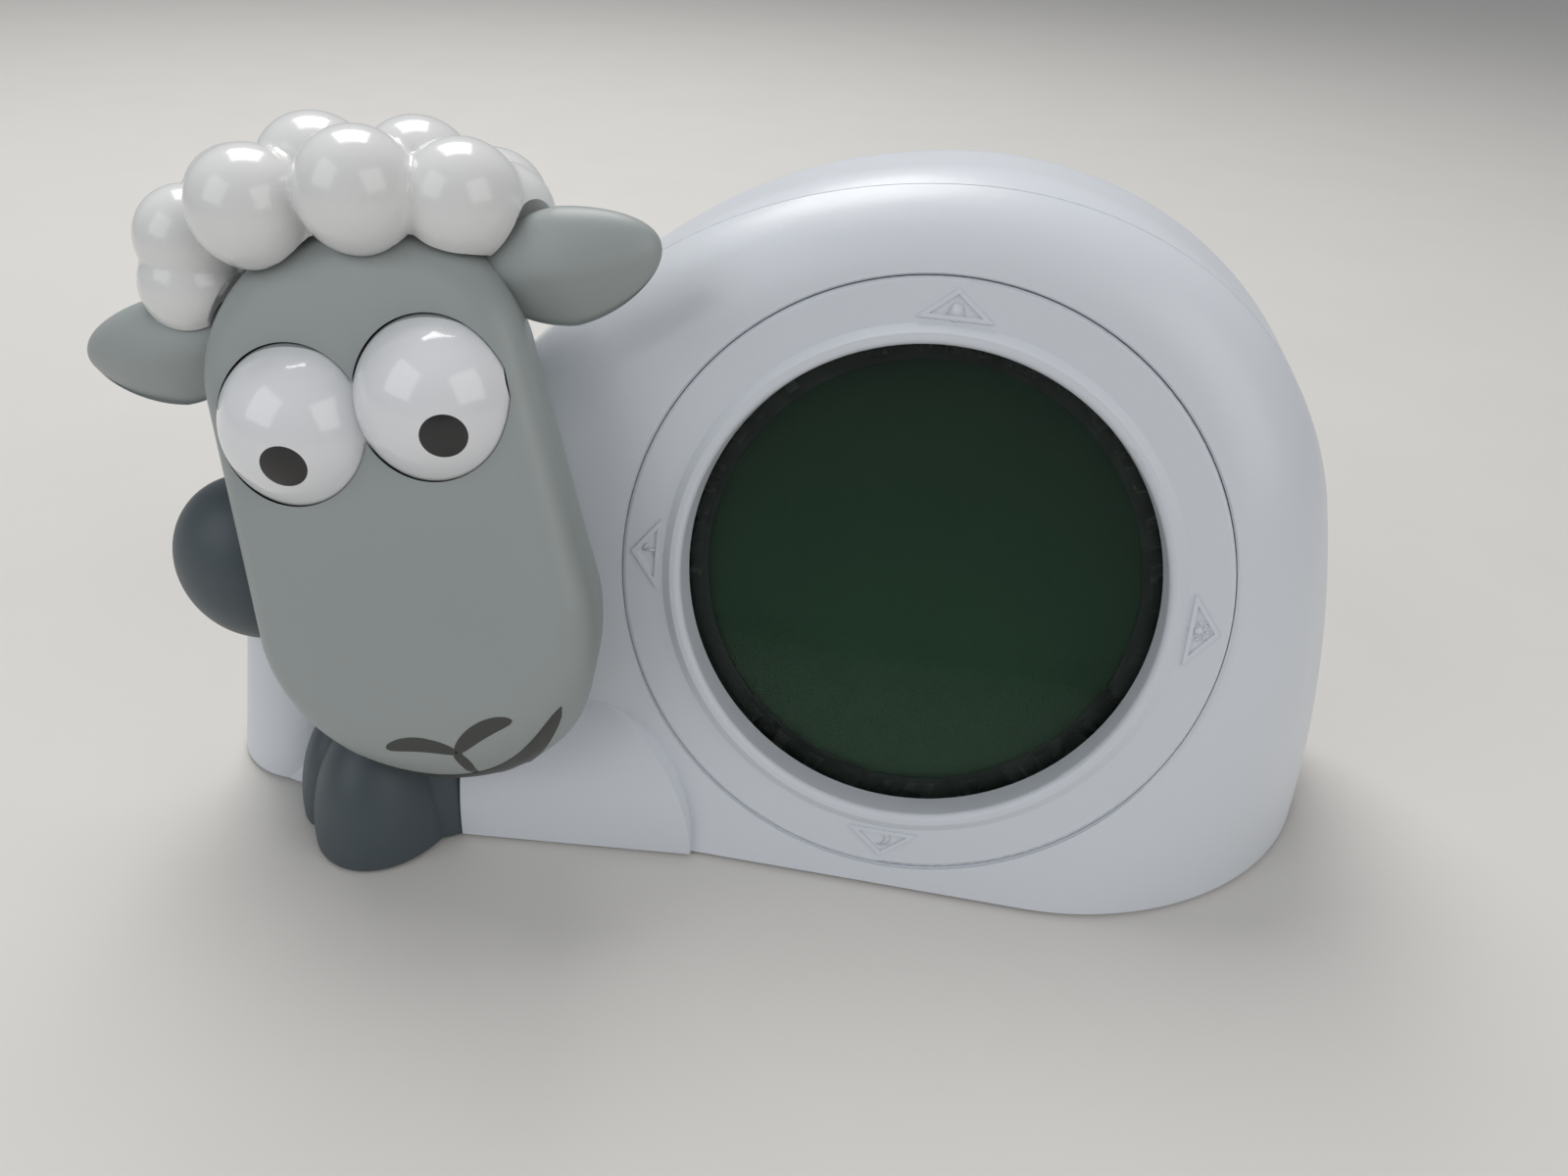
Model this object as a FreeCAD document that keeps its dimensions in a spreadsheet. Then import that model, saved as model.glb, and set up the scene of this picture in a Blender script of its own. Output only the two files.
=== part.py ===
import FreeCAD, Part
import math
import os
import re

import Sketcher
from FreeCAD import Matrix, Placement, Rotation, Vector

# Children's alarm clock with a night light, in the shape of a lying sheep.
# Millimetres and degrees. X runs to the viewer's right, Y away from the viewer, Z up.
# The round display looks to the front and leans back with the face of the clock.

SIZES = {
    # control ring and window: radii from the throat outwards
    "throat_radius": 42.7,
    "ring_gap": 0.4,
    "ring_plate": 2.0,
    "ring_skirt": 4.0,
    "ring_wall": 1.7,
    "lip_rise": 1.2,
    "lip_crest": "=throat_radius + 1.9",
    "lip_start": "=throat_radius + 3.5",
    "lens_radius": "=throat_radius + ring_wall + 1",
    "mask_inner": "=lens_radius - 5.7",
    "frame_wall": 1.3,
    "frame_radius": "=lens_radius + 0.3 + frame_wall",
    "frame_inner": "=lens_radius - 4.4",
    "lcd_circle": "=lens_radius - 1.8",
    "guide_foot_circle": "=lens_radius - 5.4",
    "tilt_ring_inner": "=frame_radius + 0.4",
    "tilt_ring_outer": "=tilt_ring_inner + 0.9",
    "tilt_ring_tall": 1.8,
    "pin_radius": 0.6,
    "pin_slack": 0.05,
    "post_radius": 1.3,
    "post_circle": "=tilt_ring_outer + 0.3 + post_radius",
    "flange_radius": "=post_circle + 0.7",
    "ring_radius": "=post_circle + post_radius + 0.9 + ring_wall",
    "ring_lift": 1.9,
    "lug_radius": 4.0,
    "lug_circle": "=ring_radius + ring_gap + ring_wall + 3.6",
    "mark_base": "=lip_start + 0.6",
    "mark_apex": "=ring_radius - 1.8",
    "mark_width": 13.0,
    "mark_line": 0.7,
    "mark_rise": 0.4,
    # depths measured back from the face of the clock
    "lens_front": 7.9,
    "lens_thick": 1.5,
    "mask_thick": 0.4,
    "throat_depth": "=lens_front - 1.5",
    "frame_front": "=lens_front - 0.5",
    "frame_shelf": 1.2,
    "lcd_thick": 2.4,
    "guide_thick": 3.0,
    "pivot_depth": "=frame_front + 1",
    "post_end": "=pivot_depth + 1.3",
    "key_board_thick": 1.2,
    "key_side": 3.2,
    "key_body": 0.65,
    "key_button": 0.5,
    "key_button_radius": 1.0,
    "flange_depth": "=post_end + 1.15 + key_button + key_body + key_board_thick",
    "flange_thick": 1.6,
    "board_depth": "=lens_front + lens_thick + mask_thick + frame_shelf + lcd_thick + guide_thick + 2.2",
    "board_thick": 1.6,
    "board_screw_x": "=(frame_radius + 3.9) / sqrt(2)",
    "board_side": "=2 * board_screw_x + 12",
    "board_corner": 6.0,
    "led_circle": 26.0,
    "led_side": 3.0,
    "led_thick": 1.2,
    # the clock body, seen from the front
    "face_lean": 17.1,
    "display_height": "=ring_radius + 1.65",
    "body_right": 85.0,
    "body_left": -132.0,
    "body_back": 56.0,
    "dome_x": 2.0,
    "dome_height": 49.0,
    "dome_radius": "=ring_radius + 17.7",
    "flank_angle": 17.0,
    "shoulder_angle": 92.0,
    "shoulder_radius": 98.0,
    "rump_angle": 124.0,
    "parting_depth": 27.0,
    "shell_wall": 2.2,
    "heel_round": 72.0,
    "flank_round": 25.0,
    "brow_round": 20.0,
    "rump_round": 18.0,
    "back_round": 11.0,
    "below_floor": 20.0,
    "foot_proud": 0.8,
    "foot_radius": 6.0,
    "foot_thick": 1.6,
    "fit_gap": 0.3,
    # the front leg and the bent arm, moulded with the front shell
    "leg_end": -36.0,
    "leg_seam": -80.0,
    "leg_reach": 24.0,
    "leg_height": 27.0,
    "leg_half_width": 14.0,
    "leg_axis_y": -4.0,
    "leg_turn": 6.3,
    "arm_x": -120.0,
    "arm_foot_radius": 16.3,
    "arm_top_radius": 12.5,
    "arm_top": 40.0,
    "arm_lean": 4.0,
    # hooves
    "hoof_reach": 36.5,
    "hoof_x": -96.0,
    "hoof_height": 24.0,
    "hoof_half_width": 13.5,
    "cheek_hoof_x": -121.0,
    "cheek_hoof_y": -9.0,
    "cheek_hoof_z": 48.0,
    "cheek_hoof_tall": 16.0,
    # the head, placed by the middle of its two eyes
    "head_x": -92.1,
    "head_y": -16.25,
    "head_z": 83.9,
    "head_roll": 17.2,
    "head_front": -0.3,
    "head_front_lean": 3.5,
    "chin_radius": 31.3,
    "cheek_radius": 350.0,
    "cheek_angle": 1.0,
    "cheek_round": 13.5,
    "nape_round": 9.0,
    "head_seam": 10.0,
    "head_back": 33.0,
    "head_crown": 32.0,
    "head_chin": 67.5,
    "head_wall": 1.8,
    "eye_radius": 14.2,
    "eye_offset": 12.4,
    "eye_depth": 5.5,
    "eye_gap": 0.4,
    "eye_wall": 1.6,
    "eye_window": 65.5,
    "eye_bore": 5.4,
    "eye_web": 1.2,
    "eye_hub": 4.0,
    "pupil_radius": 3.7,
    "pupil_thick": 0.8,
    "pupil_down": 24.0,
    "gaze_left": 5.0,
    "gaze_right": 18.0,
    "axle_radius": 1.5,
    "axle_slack": 0.05,
    "motor_radius": 4.6,
    "motor_length": 16.0,
    "bearing_radius": 3.0,
    "bearing_length": 2.6,
    "nose_half_width": 12.0,
    "nose_height": -59.3,
    "smile_half_width": 20.0,
    "print_depth": 0.5,
    "ear_middle": 30.5,
    "ear_reach": 54.0,
    "ear_height": 17.8,
    "ear_half_tall": 9.3,
    "ear_half_thick": 6.2,
    "tuft_bump": 10.0,
    "tuft_travel": 1.2,
    "tuft_gap": 0.35,
    "stem_x": -2.0,
    "stem_y": 16.0,
    "stem_radius": 2.6,
    "stem_top": 41.5,
    "snooze_shelf": 15.2,
    "snooze_key_side": 6.0,
    "snooze_key_body": 3.5,
    "snooze_plunger": 1.0,
    # battery bay, speaker and sockets in the back, x as seen from behind
    "bay_x": -20.0,
    "bay_z": 37.0,
    "cell_radius": 7.1,
    "cell_length": 50.0,
    "cell_pitch": 15.0,
    "door_width": 58.0,
    "door_tall": 58.0,
    "door_thick": 1.8,
    "door_sunk": 1.2,
    "knuckle": 1.0,
    "bay_wall": 1.5,
    "bay_spare": 2.2,
    "speaker_x": 46.0,
    "speaker_z": 48.0,
    "speaker_radius": 18.0,
    "speaker_deep": 10.0,
    "grille_hole": 1.5,
    "grille_pitch": 5.4,
    "inlet_x": 86.0,
    "inlet_z": 16.0,
    "inlet_width": 8.6,
    "inlet_tall": 3.2,
    "inlet_deep": 7.0,
    "switch_x": 86.0,
    "switch_z": 34.0,
    "switch_throw": 4.0,
    "knob_width": 4.0,
    "knob_tall": 3.0,
    "screw_radius": 1.4,
    "screw_head": 2.8,
    "screw_head_tall": 1.8,
    "screw_length": 18.0,
    "screw_seat": 34.0,
    "boss_radius": 4.2,
    "small_screw": 0.9,
}

doc = FreeCAD.newDocument("SheepClock")
sheet = doc.addObject("Spreadsheet::Sheet", "Sizes")
for row, (name, number) in enumerate(SIZES.items(), start=1):
    sheet.set(f"A{row}", name)
    sheet.setAlias(f"B{row}", name)
    sheet.set(f"B{row}", str(number))
doc.recompute()

pieces = []


def size(name):
    """The number in the cell of that name."""
    return float(sheet.get(name))


def cells(text):
    """An expression in which each size's name points to its cell."""
    return re.sub(r"[a-z][a-z_]+", lambda word: f"Sizes.{word[0]}" if word[0] in SIZES else word[0], text)


def worked_out(text):
    """The number that an expression gives now."""
    return float(sheet.evalExpression(cells(text)))


def coordinate_system(label, expression):
    """A placed frame that pieces hang from."""
    system = doc.addObject("Part::LocalCoordinateSystem", label)
    system.setExpression("Placement", cells(expression))
    doc.recompute()
    return system


# The origin is the middle of the whole clock's outline on the table.
MIDDLE_X = "(body_right + head_x - ear_reach * cos(head_roll) - ear_height * sin(head_roll)) / 2"
MIDDLE_Y = "(body_back - hoof_reach) / 2"
clock = coordinate_system(
    "ClockFrame",
    f"placement(vector(-{MIDDLE_X}; -{MIDDLE_Y}; foot_proud); rotation(vector(1; 0; 0); 0))",
)
# The face frame: x across, y up the leaning face, z out of it, from the middle of the display.
FACE = "placement(vector(0; 0; display_height); rotation(vector(1; 0; 0); 90 - face_lean))"
face = coordinate_system("FaceFrame", f"ClockFrame.Placement * {FACE}")
# The head frame: x across the eyes, y into the head, z to the crown, from between the eyes.
HEAD = (
    "placement(vector(head_x; head_y; head_z);"
    " rotation(vector(1; 0; 0); -face_lean) * rotation(vector(0; 1; 0); -head_roll))"
)
head = coordinate_system("HeadFrame", f"ClockFrame.Placement * {HEAD}")
# The eye frame: z along the axle of the eyes.
EYE = "placement(vector(0; eye_depth; 0); rotation(vector(0; 1; 0); 90))"
eye = coordinate_system("EyeFrame", f"HeadFrame.Placement * {EYE}")
# The back frame: x to the right as seen from behind, y up, z out of the back.
BACK = "placement(vector(0; body_back; 0); rotation(vector(1; 0; 0); -90) * rotation(vector(0; 0; 1); 180))"
back = coordinate_system("BackFrame", f"ClockFrame.Placement * {BACK}")


def new_body(label, system):
    body = doc.addObject("PartDesign::Body", label)
    body.setExpression("Placement", f"{system.Name}.Placement")
    pieces.append(body)
    return body


def sketch_in(body, role, depth=None, turn=0):
    """A sketch on an origin plane of its body, raised along the plane's normal by depth."""
    sketch = body.newObject("Sketcher::SketchObject", "Sketch")
    plane = next(item for item in body.Origin.OriginFeatures if item.Role == role)
    sketch.AttachmentSupport = (plane, [""])
    sketch.MapMode = "FlatFace"
    if turn:
        sketch.AttachmentOffset = Placement(Vector(), Rotation(Vector(0, 0, 1), turn))
    if depth:
        sketch.setExpression("AttachmentOffset.Base.z", cells(depth))
    return sketch


def held_at(sketch, shape_index, point_index, x, y):
    """Fixes one point of a sketch's shape to the origin by two sizes."""
    for kind, text in (("DistanceX", x), ("DistanceY", y)):
        index = sketch.addConstraint(
            Sketcher.Constraint(kind, -1, 1, shape_index, point_index, worked_out(text))
        )
        sketch.setExpression(f"Constraints[{index}]", cells(text))


def outline(sketch, *corners):
    """A closed outline of straight edges. Each corner is an x and a y expression."""
    points = [Vector(worked_out(x), worked_out(y), 0) for x, y in corners]
    following = points[1:] + points[:1]
    edges = [sketch.addGeometry(Part.LineSegment(a, b), False) for a, b in zip(points, following)]
    for edge, after in zip(edges, edges[1:] + edges[:1]):
        sketch.addConstraint(Sketcher.Constraint("Coincident", edge, 2, after, 1))
    for edge, (x, y) in zip(edges, corners):
        held_at(sketch, edge, 1, x, y)


def rectangle(sketch, x, y, width, tall):
    left, right = f"{x} - ({width}) / 2", f"{x} + ({width}) / 2"
    low, high = f"{y} - ({tall}) / 2", f"{y} + ({tall}) / 2"
    outline(sketch, (left, low), (right, low), (right, high), (left, high))


def circle(sketch, x, y, radius):
    centre = Vector(worked_out(x), worked_out(y), 0)
    index = sketch.addGeometry(Part.Circle(centre, Vector(0, 0, 1), worked_out(radius)), False)
    held_at(sketch, index, 3, x, y)
    bound = sketch.addConstraint(Sketcher.Constraint("Radius", index, worked_out(radius)))
    sketch.setExpression(f"Constraints[{bound}]", cells(radius))


def feature(body, kind, sketch, length, backwards=False, about=False):
    """A Pad or a Pocket of a sketch, on one side of it or about it."""
    made = body.newObject(f"PartDesign::{kind}", kind)
    made.Profile = sketch
    made.setExpression("Length", cells(length))
    made.Reversed = backwards
    if about:
        made.SideType = "Symmetric"
    body.Tip = made
    return made


def revolved(body, sketch, kind="Revolution"):
    made = body.newObject(f"PartDesign::{kind}", kind)
    made.Profile = sketch
    made.ReferenceAxis = (sketch, ["V_Axis"])
    made.Angle = 360
    body.Tip = made
    return made


def rounded(body, base, radius, chosen):
    """Rounds the edges of a feature that a test picks out."""
    doc.recompute()
    names = [f"Edge{index}" for index, edge in enumerate(base.Shape.Edges, start=1) if chosen(edge)]
    made = body.newObject("PartDesign::Fillet", "Fillet")
    made.Base = (base, names)
    made.setExpression("Radius", cells(radius))
    body.Tip = made
    doc.recompute()
    return made


def rim(radius, height):
    """Picks out the circular edge of a radius and a height about the Z axis."""

    def matches(edge):
        if edge.Curve.TypeId != "Part::GeomCircle":
            return False
        off = abs(edge.Curve.Radius - radius) + abs(edge.Curve.Center.z - height)
        return off + math.hypot(edge.Curve.Center.x, edge.Curve.Center.y) < 0.01

    return matches


def upright(edge):
    return edge.Curve.TypeId == "Part::GeomLine" and abs(edge.tangentAt(edge.FirstParameter).z) > 0.99


def repeated(body, sketch, originals, count):
    """Copies of features around the normal of a sketch."""
    doc.recompute()
    made = body.newObject("PartDesign::PolarPattern", "PolarPattern")
    made.Originals = originals
    made.Axis = (sketch, ["N_Axis"])
    made.Angle = 360
    made.Occurrences = count
    body.Tip = made
    doc.recompute()
    return made


def primitive(kind, placement, **sizes):
    """A Part primitive with its sizes and its place bound to the sheet."""
    made = doc.addObject(f"Part::{kind}", kind)
    for prop, text in sizes.items():
        made.setExpression(prop, cells(text))
    made.setExpression("Placement", cells(placement))
    return made


def at(x, y, z, axis="0; 0; 1", angle="0"):
    return f"placement(vector({x}; {y}; {z}); rotation(vector({axis}); {angle}))"


def block(x, y, z, long, deep, tall, frame=""):
    """A box about the middle of its x and y, standing on z, in a frame given by its placement."""
    corner = at(f"{x} - ({long}) / 2", f"{y} - ({deep}) / 2", z)
    return primitive("Box", frame + corner, Length=long, Width=deep, Height=tall)


def rod(place, radius, tall):
    return primitive("Cylinder", place, Radius=radius, Height=tall)


def cut(base, *tools):
    made = doc.addObject("Part::Cut", "Cut")
    made.Base = base
    made.Tool = tools[0] if len(tools) == 1 else fused(*tools)
    return made


def fused(*members):
    made = doc.addObject("Part::MultiFuse", "Fusion")
    made.Shapes = list(members)
    return made


def shared(*members):
    made = doc.addObject("Part::MultiCommon", "Common")
    made.Shapes = list(members)
    return made


def tube(place, inner, outer, tall):
    return cut(rod(place, outer, tall), rod(place, inner, tall))


def screw(place, radius, head, head_tall, length):
    """A screw whose head stands on place and whose shaft runs down from it."""
    return fused(rod(place, head, head_tall), rod(place + " * " + at(0, 0, f"-({length})"), radius, length))


def placed(label, made, system):
    """Names a finished piece and hangs it from its frame."""
    made.Label = label
    made.setExpression("Placement", f"{system.Name}.Placement")
    pieces.append(made)
    return made


def group_of(label, members, system):
    """Separate solids that share one node."""
    made = doc.addObject("Part::Compound", label)
    made.Links = members
    return placed(label, made, system)


def form(label, shape, placement=""):
    """A free form that the pieces are made from."""
    made = doc.addObject("Part::Feature", label)
    made.Shape = shape
    if placement:
        made.setExpression("Placement", cells(placement))
    return made


# Free forms


def on_circle(centre, radius, angle):
    """A point of a circle in the upright plane, at an angle from the X axis."""
    turn = math.radians(angle)
    return Vector(centre.x + radius * math.cos(turn), 0, centre.z + radius * math.sin(turn))


def arc_between(centre, radius, start, end):
    middle = (start + end) / 2
    return Part.Arc(*(on_circle(centre, radius, angle) for angle in (start, middle, end))).toShape()


def tangent_to_base(start, angle, base_x):
    """Centre and radius of the arc that leaves start with a given normal and meets the table at base_x."""
    normal = Vector(math.cos(math.radians(angle)), 0, math.sin(math.radians(angle)))
    across = start - Vector(base_x, 0, 0)
    radius = across.dot(across) / (2 * across.dot(normal))
    return start - normal * radius, radius


def front_outline(inset):
    """The clock body seen from the front: flank, dome, shoulder and rump, as tangent arcs."""
    low = -size("below_floor")
    dome = Vector(size("dome_x"), 0, size("dome_height"))
    dome_radius, shoulder_radius = size("dome_radius"), size("shoulder_radius")
    flank_angle, shoulder_angle, rump_angle = size("flank_angle"), size("shoulder_angle"), size("rump_angle")
    flank, flank_radius = tangent_to_base(
        on_circle(dome, dome_radius, flank_angle), flank_angle, size("body_right")
    )
    shoulder = on_circle(dome, dome_radius - shoulder_radius, shoulder_angle)
    rump, rump_radius = tangent_to_base(
        on_circle(shoulder, shoulder_radius, rump_angle), rump_angle, size("body_left")
    )
    flank_radius, dome_radius = flank_radius - inset, dome_radius - inset
    shoulder_radius, rump_radius = shoulder_radius - inset, rump_radius - inset
    flank_low = math.degrees(math.asin((low - flank.z) / flank_radius))
    rump_low = 180 - math.degrees(math.asin((low - rump.z) / rump_radius))
    arcs = [
        arc_between(flank, flank_radius, flank_low, flank_angle),
        arc_between(dome, dome_radius, flank_angle, shoulder_angle),
        arc_between(shoulder, shoulder_radius, shoulder_angle, rump_angle),
        arc_between(rump, rump_radius, rump_angle, rump_low),
    ]
    base = Part.makeLine(on_circle(rump, rump_radius, rump_low), on_circle(flank, flank_radius, flank_low))
    return Part.Wire(arcs + [base])


BIG = 400


def half_space(point, outward):
    """A large block that fills the side of a plane that outward points to."""
    block = Part.makeBox(2 * BIG, 2 * BIG, BIG, Vector(-BIG, -BIG, 0))
    block.Placement = Placement(point, Rotation(Vector(0, 0, 1), outward))
    return block


def face_normal():
    lean = math.radians(size("face_lean"))
    return Vector(0, -math.cos(lean), math.sin(lean))


def face_centre():
    return Vector(0, 0, size("display_height"))


def rounded_block(front_view, front_point, front_normal, back_y, rim_radius, back_radius):
    """Carries a front view to the back, cuts its front off level and rounds both rims.

    The radius along the front rim is a function of the place on the rim.
    """
    front = BIG / 4
    solid = Part.Face(front_view)
    solid.translate(Vector(0, -front, 0))
    solid = solid.extrude(Vector(0, front + back_y, 0))
    solid = solid.cut(half_space(front_point, front_normal))
    blank = doc.addObject("Part::Feature", "Blank")
    blank.Shape = solid
    filleted = doc.addObject("Part::Fillet", "Rounded")
    filleted.Base = blank
    radii = []
    for index, edge in enumerate(solid.Edges, start=1):
        if edge.Curve.TypeId == "Part::GeomEllipse":
            ends = (edge.Vertexes[0].Point, edge.Vertexes[-1].Point)
            radii.append((index, *(rim_radius(end) for end in ends)))
        elif edge.Curve.TypeId == "Part::GeomCircle":
            radii.append((index, back_radius, back_radius))
    filleted.Edges = radii
    doc.recompute()
    shape = filleted.Shape.copy()
    doc.removeObject(filleted.Name)
    doc.removeObject(blank.Name)
    return shape


def clock_form(inset):
    """The rounded solid of the clock body, drawn in by inset on every side but the base."""

    def rim_radius(place):
        if place.z < 0:
            return (size("heel_round") if place.x > 0 else size("rump_round")) - inset
        if place.x > size("dome_radius") / 2:
            return size("flank_round") - inset
        return size("brow_round") - inset

    normal = face_normal()
    return rounded_block(
        front_outline(inset),
        face_centre() - normal * inset,
        normal,
        size("body_back") - inset,
        rim_radius,
        size("back_round") - inset,
    )


def ellipsoid(centre, half_x, half_y, half_z):
    stretch = Matrix()
    stretch.scale(half_x, half_y, half_z)
    shape = Part.makeSphere(1).transformGeometry(stretch)
    shape.translate(centre)
    return shape


def half_ellipse_face(half_width, tall, inset, normal):
    """An upright ellipse about the origin, standing below the table as well."""
    ring = Part.Ellipse(Vector(0, 0, 0), tall - inset, half_width - inset)
    edge = ring.toShape()
    shape = Part.Face(Part.Wire(edge))
    shape.rotate(Vector(), Vector(0, 0, 1), 90)
    shape.rotate(Vector(), Vector(1, 0, 0), 90)
    if normal == "x":
        shape.rotate(Vector(), Vector(0, 0, 1), 90)
    return shape


def leg_form(inset):
    """The front leg: an elliptic bar that turns outwards, its shoulder rounded in the front view."""
    reach, tall = size("leg_reach"), size("leg_height")
    long = 2 * reach - size("leg_end") + size("leg_seam")
    bar = half_ellipse_face(size("leg_half_width"), tall, inset, "x").extrude(Vector(-BIG / 4, 0, 0))
    bar.rotate(Vector(), Vector(0, 0, 1), size("leg_turn"))
    bar.translate(Vector(size("leg_end"), size("leg_axis_y"), 0))
    middle_x = size("leg_end") - reach
    rounded = half_ellipse_face(reach, tall, inset, "y").extrude(Vector(0, BIG / 4, 0))
    rounded.translate(Vector(middle_x, -BIG / 8, 0))
    tail = Part.makeBox(BIG / 4, BIG / 4, 2 * (tall - inset))
    tail.translate(Vector(middle_x - BIG / 4, -BIG / 8, inset - tall))
    return bar.common(rounded.fuse(tail))


def arm_form(inset):
    """The bent arm at the left end, a cone under the cheek."""
    top = size("arm_top") - inset
    low = -size("below_floor")
    foot, end = size("arm_foot_radius"), size("arm_top_radius")
    grow = foot + (end - foot) * low / size("arm_top")
    cone = Part.makeCone(grow - inset, end - inset, top - low, Vector(0, 0, low))
    shear = Matrix()
    shear.A13 = size("arm_lean") / size("arm_top")
    cone = cone.transformGeometry(shear)
    cone.translate(Vector(size("arm_x"), 0, 0))
    return cone


def head_outline(inset):
    """The head seen from the front: chin, two long cheeks and the crown, as tangent arcs."""
    chin_radius, cheek_radius = size("chin_radius"), size("cheek_radius")
    chin = Vector(0, 0, chin_radius - size("head_chin"))
    turn = size("cheek_angle")
    cheek = on_circle(chin, chin_radius - cheek_radius, turn)
    # the crown circle touches both cheeks from inside and reaches the crown height
    top = size("head_crown")
    reach = cheek_radius - top
    crown_z = (cheek.x**2 + cheek.z**2 - reach**2) / (2 * (reach + cheek.z))
    crown = Vector(0, 0, crown_z)
    crown_turn = math.degrees(math.atan2(crown.z - cheek.z, crown.x - cheek.x))
    chin_radius, cheek_radius, crown_radius = chin_radius - inset, cheek_radius - inset, top - crown_z - inset
    mirrored = Vector(-cheek.x, 0, cheek.z)
    return Part.Wire(
        [
            arc_between(chin, chin_radius, -90, turn),
            arc_between(cheek, cheek_radius, turn, crown_turn),
            arc_between(crown, crown_radius, crown_turn, 180 - crown_turn),
            arc_between(mirrored, cheek_radius, 180 - crown_turn, 180 - turn),
            arc_between(chin, chin_radius, 180 - turn, 270),
        ]
    )


def head_form(inset):
    """The smooth solid of the head, drawn in by inset."""

    lean = math.radians(size("head_front_lean"))
    normal = Vector(0, -math.cos(lean), math.sin(lean))
    return rounded_block(
        head_outline(inset),
        Vector(0, size("head_front"), 0) - normal * inset,
        normal,
        size("head_back") - inset,
        lambda place: size("cheek_round") - inset,
        size("nape_round") - inset,
    )


def clock_outside():
    """The clock body with its leg and arm, cut level at the table."""
    leg = leg_form(0).cut(half_space(Vector(size("leg_seam"), 0, 0), Vector(-1, 0, 0)))
    whole = clock_form(0).fuse([leg, arm_form(0)])
    return whole.cut(half_space(Vector(), Vector(0, 0, -1)))


def clock_inside():
    wall = size("shell_wall")
    leg = leg_form(wall).cut(half_space(Vector(size("leg_seam") + wall, 0, 0), Vector(-1, 0, 0)))
    whole = clock_form(wall).fuse([leg, arm_form(wall)])
    return whole.cut(half_space(Vector(0, 0, wall), Vector(0, 0, -1)))


TO_HEAD = "minvert(HeadFrame.Placement) * ClockFrame.Placement"
RING_BY_HEAD = "minvert(HeadFrame.Placement) * FaceFrame.Placement"

outside = form("ClockOutside", clock_outside())
inside = form("ClockInside", clock_inside())
outside_by_head = form("ClockOutsideByHead", outside.Shape, TO_HEAD)
head_skin = form("HeadSkin", head_form(0))
head_inside = form("HeadInside", head_form(size("head_wall")))
head_core = form("HeadCore", head_form(size("head_wall") / 2))
head_skin_by_clock = form("HeadSkinByClock", head_form(0), HEAD)

# Screws that hold the two halves of the clock body together, seen from the front

HOUSING_SCREWS = ((-112, 14), (66, 16), (48, 84), (-60, 84))


def along_depth(x, y, z):
    """A placement at a point of the clock whose Z axis runs to the back."""
    return at(x, y, z, "1; 0; 0", "-90")


def front_bosses():
    start, deep = "parting_depth - 45", "45"
    return [rod(along_depth(x, start, z), "boss_radius", deep) for x, z in HOUSING_SCREWS]


def rear_bosses():
    start, deep = "parting_depth + fit_gap / 2", "body_back - parting_depth - fit_gap"
    return [rod(along_depth(x, start, z), "boss_radius", deep) for x, z in HOUSING_SCREWS]


# The clock body: front shell

LUGS = [f"{FACE} * {at(0, 0, 0, angle=45 + 90 * turn)} * " for turn in range(4)]
FEET = ((-105, 10), (-105, 44), (50, 12), (60, 44))
HEAD_SCREWS = ((3, -36), (17, -32), (14, -52))

collar = tube(
    f"{FACE} * {at(0, 0, '-4.5')}", "ring_radius + ring_gap", "ring_radius + ring_gap + ring_wall", "4.4"
)
lug_bosses = [rod(lug + at("lug_circle", 0, "-flange_depth"), "3.2", "flange_depth - 1") for lug in LUGS]
lug_pilots = [
    rod(lug + at("lug_circle", 0, "-flange_depth - 1"), "small_screw + 0.05", "flange_depth - 2")
    for lug in LUGS
]
front_pilots = [
    rod(along_depth(x, "screw_seat - screw_length - 0.5", z), "screw_radius + 0.05", "30")
    for x, z in HOUSING_SCREWS
]
foot_pockets = [rod(at(x, y, -1), "foot_radius", "1 + foot_thick - foot_proud") for x, y in FEET]
display_hole = rod(f"{FACE} * {at(0, 0, '-8')}", "ring_radius + ring_gap", "20")
head_screw_holes = [
    rod(f"{HEAD} * {at(x, 10, z, '1; 0; 0', '-90')}", "screw_radius + 0.3", "24") for x, z in HEAD_SCREWS
]
wire_hole = rod(f"{HEAD} * {at(9, 10, -20, '1; 0; 0', '-90')}", "4", "24")
front_room = primitive("Box", at(-200, -100, 0), Length="400", Width="100 + parting_depth", Height="200")
skin = cut(outside, inside)
body_front = shared(fused(skin, collar, *lug_bosses, *front_bosses()), outside, front_room)
body_front = cut(
    body_front, display_hole, *lug_pilots, *front_pilots, *foot_pockets, *head_screw_holes, wire_hole
)
placed("body_front_shell", body_front, clock)

# The clock body: rear shell with the battery bay, the grille and the sockets

BAY = f"{BACK} * {at('bay_x', 'bay_z', 0)} * "
SPEAKER = f"{BACK} * {at('speaker_x', 'speaker_z', 0)} * "
INLET = f"{BACK} * {at('inlet_x', 'inlet_z', 0)} * "
SWITCH = f"{BACK} * {at('switch_x', 'switch_z', 0)} * "
BAY_LONG = "cell_length + 2 * bay_spare"
BAY_TALL = "2 * cell_pitch + 2 * cell_radius + 0.6"
LEDGE = "(door_sunk + door_thick)"

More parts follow.
